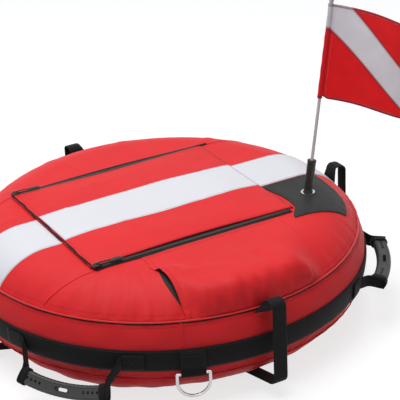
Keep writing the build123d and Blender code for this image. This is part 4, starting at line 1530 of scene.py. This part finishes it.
@dataclass
class StripePanels(SubAssembly):
    """White stripe panels on the top of the ring, left and right of the lid."""

    y: tuple = (-62.0, 57.0)
    start: float = 0.8
    rim_r: float = 384.0
    stitch_r: float = 381.0
    inset: float = 3.0

    def build(self) -> Iterator[Piece]:
        """Builds both panels; each row runs from the lid's end to the rim seam at sqrt(rim_r^2 - y^2).

        Returns:
            The pieces.
        """
        thread, (low, high) = Stitching(), self.y
        for name, end, side in (("left", SKIN.lid_x[0], -1), ("right", SKIN.lid_x[1], 1)):
            first = end + side * self.start
            y, t = grid(np.linspace(low, high, 33), np.linspace(0, 1, 65))
            x = first + (side * np.sqrt(self.rim_r**2 - y**2) - first) * t
            edge = smoothstep(np.minimum(y - low, high - y), 0.0, 3.0)
            points = SKIN.top(x, y, 1.3) - (1 - edge[..., None]) * 0.5 * SKIN.normal(SKIN.top(x, y))
            cloth = sheet_object(f"stripe_cloth_{name}", points, xyz(x, y), self.palette.white, upward, 0.9)
            yield mount(cloth, Body.BUOY, Slot.WHITE, f"stripe_{name}")
            for row_y in (low + self.inset, high - self.inset):
                far = side * math.sqrt(self.stitch_r**2 - row_y**2)
                thread.row(SKIN.top(np.linspace(first + side * 2, far, 80), row_y, 1.5))
            across = np.linspace(low + self.inset, high - self.inset, 50)
            thread.row(SKIN.top(first + side * 3.5, across, 1.5))
        yield thread.build("stripe_stitching", self.palette.white_thread, Body.BUOY, Slot.WHITE)


@dataclass
class Pocket(SubAssembly):
    """Patch pocket on the front of the ring: a slack sheet with its mouth at the left end."""

    back_x: tuple = (-150.0, 142.0)
    back_y: float = -197.5
    foot_deg: tuple = (-112.5, -68.2)
    foot_r: float = 384.0
    foot_z: float = 178.0
    crest_z: float = 232.5
    slope_r: float = 290.0
    mouth: tuple = (0.36, 0.93)
    mouth_lift: float = 11.0
    mouth_back: float = 2.0
    mouth_dip: float = 6.0
    hump: float = 4.0
    gathers: float = 1.3
    crease: float = 2.2
    # How far the black lens reaches past the mouth's edge, as painted shadow on the skin
    shade_out: float = 8.0
    overhang: float = 7.0
    thickness: float = 1.6

    def plan(self, u: Array, t: Array) -> tuple:
        """Plan points: straight from the back seam to the rim seam.

        Args:
            u: Share along the pocket.
            t: Share from the back seam to the rim seam.
        Returns:
            Both plan coordinates.
        """
        azimuth = np.radians(self.foot_deg[0] + (self.foot_deg[1] - self.foot_deg[0]) * u)
        back = self.back_x[0] + (self.back_x[1] - self.back_x[0]) * u
        x, y = back * (1 - t) + self.foot_r * np.cos(azimuth) * t, self.back_y * (1 - t)
        return x, y + self.foot_r * np.sin(azimuth) * t

    def gape(self, t: Array) -> Array:
        """How far the mouth stands open along its edge: sin^0.8 between its two ends."""
        low, high = self.mouth
        return np.sin(np.pi * np.clip((t - low) / (high - low), 0, 1)) ** 0.8

    def surface(self, u: Level, v: Level) -> Array:
        """Points of the pocket: u along it from the mouth, v from the back seam to the rim seam.

        With s from 0 at slope_r to 1 at the rim, the full pocket's height is foot_z + h (1 - s^8)^0.7: a flat
        top, a soft fold and a steep front. It fades into the skin at the right end, and at the mouth it goes
        over into the gape, which starts in a small hump and whose edge sags outwards before it. Slow waves, a
        crease off the mouth, gathers above the rim seam and a fold that hangs over it at the right end are
        added.

        Args:
            u: Share along the pocket.
            v: Share across it.
        Returns:
            Points.
        """
        u, t = np.broadcast_arrays(u, 1 - (1 - v) ** 1.6)
        gape = self.gape(t)
        x, y = self.plan(u, t)
        edge = self.mouth_back * gape - self.mouth_dip * bell(t, 0.28, 0.09)
        x = x + edge * (1 - smoothstep(u, 0.0, 0.12))
        base = SKIN.top(x, y, 1.0)
        s = np.clip((np.hypot(x, y) - self.slope_r) / (self.foot_r - self.slope_r), 0, 1)
        full = self.foot_z + (self.crest_z - self.foot_z) * (1 - s**8) ** 0.7
        raised = np.clip(full - base[..., 2], 0, None) * (1 - smoothstep(u, 0.78, 0.995))
        inner = smoothstep(u, 0.0, 0.2)
        lift = (self.mouth_lift * gape + self.hump * bell(t, 0.42, 0.05)) * (1 - inner) + raised * inner
        soft = window(t, (0.1, 0.5), (0.93, 1.0)) * (1 - smoothstep(u, 0.8, 1.0))
        lift = lift + soft * (1.5 * np.sin(15 * u + 2.2 * t) + 1.0 * np.sin(31 * u - 5.0 * t + 1.0))
        lift = lift + self.crease * bell(t - 0.42 - 0.5 * u, 0.0, 0.07) * window(u, (0.02, 0.1), (0.25, 0.5))
        gathers = self.gathers * np.sin(58 * u + 1.0) * (1 - smoothstep(u, 0.7, 0.95))
        fullness = gathers * window(t, (0.72, 0.93), (0.95, 1.0))
        fullness = fullness + self.overhang * bell(u, 0.87, 0.07) * window(t, (0.82, 0.94), (0.97, 1.0))
        azimuth = np.arctan2(y, x)
        outward = xyz(np.cos(azimuth), np.sin(azimuth), 0.0)
        return base + np.clip(lift, 0, None)[..., None] * UP + outward * fullness[..., None]

    def build(self) -> Iterator[Piece]:
        """Builds the pocket, its black lining, a lens under the mouth whose part past the cloth's edge is
        painted shadow, and its stitches.

        Returns:
            The pieces.
        """
        u, v = grid(np.linspace(0, 1, 141), np.linspace(0, 1, 85))
        cloth = sheet_object(
            "pocket_cloth", self.surface(u, v), xyz(u * 300.0, v * 190.0), self.palette.red, SKIN.from_core,
            self.thickness, lining=self.palette.black,
        )
        yield mount(cloth, Body.BUOY, Slot.RED, "pocket")
        s, t = grid(np.linspace(0, 1, 24), np.linspace(*self.mouth, 40))
        x, y = self.plan(0.01 + 0.24 * s, t)
        # Past the mouth's edge the black lens is painted shadow under the lifted edge; within the pocket it
        # is the lining.
        x = x - self.shade_out * self.gape(t) * (1 - s)
        points = SKIN.top(x, y, 0.5)
        inside = sheet_object("pocket_lining_and_painted_shadow", points, xyz(x, y), self.palette.black, upward, 0.5)
        yield mount(inside, Body.BUOY, Slot.BLACK)
        thread = Stitching()
        for at in (0.015, 0.035):
            thread.row(self.surface(np.linspace(0.02, 0.97, 160), at) + UP * 0.2, UP)
        line = self.surface(0.03, np.linspace(0.02, 0.985, 70))
        off = unit(SKIN.from_core(line))
        thread.row(line + off * 0.2, off)
        yield thread.build("pocket_stitching", self.palette.red_thread, Body.BUOY, Slot.RED)


@dataclass
class MastFoot(SubAssembly):
    """Black reinforcing patch on the crest that carries the mast's grommet and socket."""

    y: tuple = (-219.0, -66.0)
    corner_x: float = 172.0
    left_x: float = 192.0
    right_x: float = 322.0
    left_bow: float = 9.0
    low_round: float = 34.0
    high_round: float = 6.0
    lift: float = 1.7
    insets: tuple = (0.03, 0.07)
    sleeve_r: float = 8.5
    sleeve_span: tuple = (1.8, 71.0)

    def outline(self, s: Array, t: Array) -> tuple:
        """Plan points of the patch, whose left edge bows and runs out to the near corner.

        Args:
            s: Share from the left edge to the right one.
            t: Share up the patch.
        Returns:
            Both plan coordinates.
        """
        left = self.corner_x + (self.left_x - self.corner_x) * smoothstep(t, 0.0, 0.3)
        left = left + self.left_bow * np.sin(np.pi * t) ** 2
        low, high = (np.clip(side, 0, None) ** 2 * 4 for side in (0.5 - t, t - 0.5))
        right = self.right_x - self.low_round * low - self.high_round * high
        return left + (right - left) * s, self.y[0] + (self.y[1] - self.y[0]) * t

    def build(self) -> Iterator[Piece]:
        """Builds the patch, its double stitching and the socket's ribbed sleeve, flared at its foot.

        Returns:
            The pieces.
        """
        x, y = self.outline(*grid(np.linspace(0, 1, 45), np.linspace(0, 1, 61)))
        points = SKIN.top(x, y, self.lift)
        patch = sheet_object("mast_patch_cloth", points, xyz(x, y), self.palette.black, upward, 1.3)
        thread, k = Stitching(), np.linspace(0, 1, 60)
        for low in self.insets:
            high = 1 - low
            corners = [(low, low), (high, low), (high, high), (low, high), (low, low)]
            for (s0, t0), (s1, t1) in pairwise(corners):
                thread.row(SKIN.top(*self.outline(s0 + (s1 - s0) * k, t0 + (t1 - t0) * k), self.lift + 0.2))
        heights = np.linspace(*self.sleeve_span, 40)
        a, h = grid(around(36), heights)
        flare = 0.9 * (1 - smoothstep(h, 2.0, 8.0)) + 0.5 * smoothstep(h, 66.5, 68.0)
        r = self.sleeve_r + flare + 0.2 * np.cos(TURN * h / 6.0)
        uv = xyz(*grid(np.linspace(0, 54.0, 37), heights))
        points = MAST.place(r * np.cos(a), r * np.sin(a), h)
        rubber = self.palette.socket
        sleeve = sheet_object("socket_sleeve", points, uv, rubber, MAST.outward, 0.7, closed=True)
        yield mount(sleeve, Body.BUOY, Slot.RUBBER)
        yield mount(patch, Body.BUOY, Slot.BLACK, "mast_patch")
        yield thread.build("mast_patch_stitching", self.palette.black_thread, Body.BUOY, Slot.BLACK)


@dataclass
class Flag(SubAssembly):
    """Diver-down flag: a light sheet sewn round the pole in a sleeve and hanging in a slow wave."""

    yaw_deg: float = -62.0
    low: float = 203.0
    height: float = 189.0
    width: float = 228.0
    sleeve_r: float = 4.9
    swing: float = 24.0
    hem: float = 4.5
    knots: tuple = ((4.4, 0.0), (75.2, 7.0), (159.6, -4.5), (228.0, 3.0))

    def wave(self, s: Array) -> Array:
        """Cubic through the four knots, in Lagrange's form: sum of y_i prod_j (s - s_j) / (s_i - s_j)."""
        return sum(
            yi * math.prod((s - sj) / (si - sj) for sj, _ in self.knots if sj != si) for si, yi in self.knots)

    def points(self, s: Level, h: Level) -> Array:
        """Points of the sheet: the knots' wave, waves that grow along the fly, and a swing of its foot.

        Args:
            s: Distance along the fly from the pole, in millimetres.
            h: Height up the hoist, in millimetres.
        Returns:
            Points.
        """
        s, h = np.broadcast_arrays(s, h)
        share = s / self.width
        sway = self.wave(s) + 2.6 * share * np.sin(s / 24.0 + h / 46.0) + 1.8 * share * np.sin(h / 31.0)
        droop = 3.0 * share * np.sin(s / 40.0) - 1.5 * share**2
        turn = math.radians(self.yaw_deg)
        sway = sway + self.swing * (s / 170.0) ** 1.3 * (1 - h / self.height)
        x, y = s * math.cos(turn) - sway * math.sin(turn), s * math.sin(turn) + sway * math.cos(turn)
        return MAST.place(x, y, self.low + h + droop)

    def front(self, points: Array) -> Array:
        """Direction off the flag's front side, which is square to its fly."""
        (_, x, y, _), turn = MAST.axes(), math.radians(self.yaw_deg)
        return np.broadcast_to(x * math.sin(turn) - y * math.cos(turn), points.shape)

    def build(self) -> Iterator[Piece]:
        """Builds the sheet, its puckered sleeve round the pole and its stitched hems on both sides.

        Returns:
            The pieces.
        """
        s, h = grid(np.linspace(self.sleeve_r, self.width, 121), np.linspace(0, self.height, 81))
        corner = np.clip(1 - (s - self.sleeve_r) / 9.0, 0, 1) * np.clip(1 - h / 9.0, 0, 1)
        points = self.points(s, h + corner * 5.0)
        cloth = sheet_object("flag_cloth", points, xyz(s, h), self.palette.flag, self.front, 0.45)
        yield mount(cloth, Body.MAST, Slot.FLAG, "flag")
        heights = np.linspace(0.0, self.height, 41)
        a, h = grid(around(28), heights)
        r = self.sleeve_r + 0.25 * np.sin(h / 5.0 + a)
        uv = xyz(*grid(np.linspace(0, TURN, 29) * 0.4, heights))
        points = MAST.place(r * np.cos(a), r * np.sin(a), self.low + h)
        sleeve = sheet_object("flag_sleeve", points, uv, self.palette.flag, MAST.outward, 0.5, closed=True)
        yield mount(sleeve, Body.MAST, Slot.FLAG)
        thread, side = Stitching(length=2.4, pitch=3.4, thick=0.4), self.front(UP)
        h, s = np.linspace(3, self.height - 3, 90), np.linspace(self.sleeve_r + 3, self.width - 3, 110)
        rows = ((9.5, h), (s, self.hem), (s, self.height - self.hem), (self.width - self.hem, h))
        for sign in (-1, 1):
            for row in rows:
                thread.row(self.points(*row) + side * sign * 0.35 - side * 0.2, side * sign)
        stitches = thread.build("flag_stitching", self.palette.white_thread, Body.MAST, Slot.FLAG)
        yield stitches


@dataclass
class FloorNet(SubAssembly):
    """Net floor of the compartment: crossing strands tied to a webbing rim."""

    radius: float = 232.0
    z: float = 13.2
    pitch: float = 13.0
    strand: float = 1.5
    strand_half_t: float = 0.35
    layer_gap: float = 0.5

    def build(self) -> Iterator[Piece]:
        """Builds the strands as thin bars between the ends of chords, and the rim.

        Returns:
            The pieces.
        """
        lines = np.arange(-self.radius + self.pitch / 2, self.radius, self.pitch)
        half, thin = np.sqrt(self.radius**2 - lines**2), self.strand / 2
        centres = [xyz(lines, 0.0, self.z + self.layer_gap), xyz(0.0, lines, self.z)]
        scales = [xyz(thin, half, self.strand_half_t), xyz(half, thin, self.strand_half_t)]
        axes = np.concatenate(scales)[:, :, None] * np.eye(3)
        knots, cord = np.concatenate(centres), self.palette.net
        net = copies_object("floor_net", BLOCK_SHAPE, BLOCK_FACES, knots, axes, cord)
        yield mount(net, Body.BUOY, Slot.NET, "floor_panel")
        angle = around(180)
        path = xyz(self.radius * np.cos(angle), self.radius * np.sin(angle), self.z)
        rim = strap_object("floor_rim", path, path * (1, 1, 0), 16.0, 1.4, self.palette.strap, True)
        yield mount(rim, Body.BUOY, Slot.NET)


@dataclass
class Hardware(SubAssembly):
    """Rigid CAD pieces that stay, with the finish of the real material."""

    def build(self) -> Iterator[Piece]:
        """Gives each kept node its material.

        Returns:
            The nodes.
        """
        palette = self.palette
        finishes = {name: palette.steel for name in ("line_ring", "d_ring_1", "d_ring_2", "grommet")}
        finishes |= {"mast_socket": palette.socket, "mast_pole": palette.pole, "mast_cap": palette.cap}
        finishes |= {f"handle_grip_{k}": palette.grip for k in range(1, 5)}
        for name, material in finishes.items():
            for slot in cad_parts[name].material_slots:
                slot.material = material
            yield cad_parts[name]


@dataclass
class Studio:
    """Plain pale floor, soft light from above and the camera at the photograph's angle."""

    camera_at: tuple = (-1215.9, -2386.3, 1510.1)
    right: tuple = (0.86705, -0.49638, -0.04280)
    up: tuple = (0.24863, 0.35663, 0.90056)
    lens_mm: float = 135.16
    sensor_mm: float = 36.0
    floor_m: float = 14.0
    floor_mottle_mm: float = 900.0
    floor_codes: tuple = ("9C9D9F", "A2A3A5")
    floor_white: float = 0.73
    sky: tuple = (0.94, 0.96, 1.0, 1.0)
    sky_strength: float = 0.22
    # Lights: name, place and aim in metres, side in metres, watts
    lights: tuple = (
        ("key", (-0.5, 0.2, 3.0), (0.0, 0.0, 0.1), 2.6, 84.0),
        ("fill_right", (1.4, -2.8, 1.4), (0.0, 0.0, 0.2), 1.8, 4.0),
        ("fill_left", (-2.4, -2.2, 1.9), (0.1, 0.0, 0.4), 1.6, 6.0),
    )

    def build(self) -> None:
        """Builds the floor, the lights, the world and the camera."""
        self.floor()
        self.world()
        self.camera()
        for name, at, aim, size, watts in self.lights:
            data = bpy.data.lights.new(name, "AREA")
            data.size, data.energy = size, watts
            obj = bpy.data.objects.new(name, data)
            bpy.context.scene.collection.objects.link(obj)
            obj.location = at
            obj.rotation_euler = (Vector(aim) - Vector(at)).to_track_quat("-Z", "Y").to_euler()

    def floor(self) -> None:
        """Matte pale floor that looks whiter to the camera and to glossy rays than the light makes it."""
        mesh, half = bpy.data.meshes.new("floor"), self.floor_m / 2
        mesh.from_pydata([(x * half, y * half, 0.0) for x, y in SQUARE], [], [[0, 1, 2, 3]])
        floor = bpy.data.objects.new("floor", mesh)
        bpy.context.scene.collection.objects.link(floor)
        shader = Shader("floor_pale_matte")
        add = shader.add
        tone = add("TexNoise", **noise(shader.place, self.floor_mottle_mm))
        colour = add("Mix", **between(tone, *map(srgb, self.floor_codes)))
        matte = add("BsdfPrincipled", {"Base Color": colour, "Roughness": 0.9})
        rays = add("LightPath").node.outputs
        seen = add("Math.MAXIMUM", (rays["Is Camera Ray"], rays["Is Glossy Ray"]))
        glow = add("Emission", {"Strength": add("Math.MULTIPLY", (seen, self.floor_white))})
        mesh.materials.append(shader.output(add("AddShader", (matte, glow))))

    def world(self) -> None:
        """Soft sky light that is plain white where it is seen directly, reflected or through a piece."""
        world = bpy.data.worlds.new("studio")
        bpy.context.scene.world = world
        world.use_nodes = True
        world.node_tree.nodes.clear()
        add = partial(add_node, world.node_tree)
        rays = add("LightPath").node.outputs
        soft = add("Background", {"Color": self.sky, "Strength": self.sky_strength})
        white = add("Background", {"Color": (1.0, 1.0, 1.0, 1.0), "Strength": 1.0})
        seen = add("Math.MAXIMUM", (rays["Is Camera Ray"], rays["Is Glossy Ray"]))
        seen = add("Math.MAXIMUM", (seen, rays["Is Transmission Ray"]))
        add("OutputWorld", (add("MixShader", (seen, soft, white)),))

    def camera(self) -> None:
        """Camera at the photograph's angle."""
        camera = bpy.data.cameras.new("camera")
        camera.lens, camera.sensor_width, camera.clip_end = self.lens_mm, self.sensor_mm, 50.0
        obj = bpy.data.objects.new("camera", camera)
        bpy.context.scene.collection.objects.link(obj)
        right, up = Vector(self.right), Vector(self.up)
        turn = Matrix((right, up, right.cross(up))).transposed().to_4x4()
        obj.matrix_world = Matrix.Translation(Vector(self.camera_at) * MM) @ turn
        bpy.context.scene.camera = obj
        bpy.context.scene.view_settings.view_transform = "Standard"


def main() -> None:
    """Builds the dressed buoy and the studio."""
    logging.basicConfig(level=logging.INFO, format="%(name)s %(message)s")
    palette = Palette()
    Studio().build()
    parts = (
        Cover, Belt, Loops, Handles, RingKeepers, Lid, Zips, StripePanels, Pocket, MastFoot, Flag, FloorNet,
        Hardware,
    )
    for part in parts:
        for piece in part(palette).build():
            log.info("%s: %s, %d faces", part.__name__, piece.name, len(piece.data.polygons))
    bpy.context.view_layer.update()


if __name__ == "__main__":
    main()
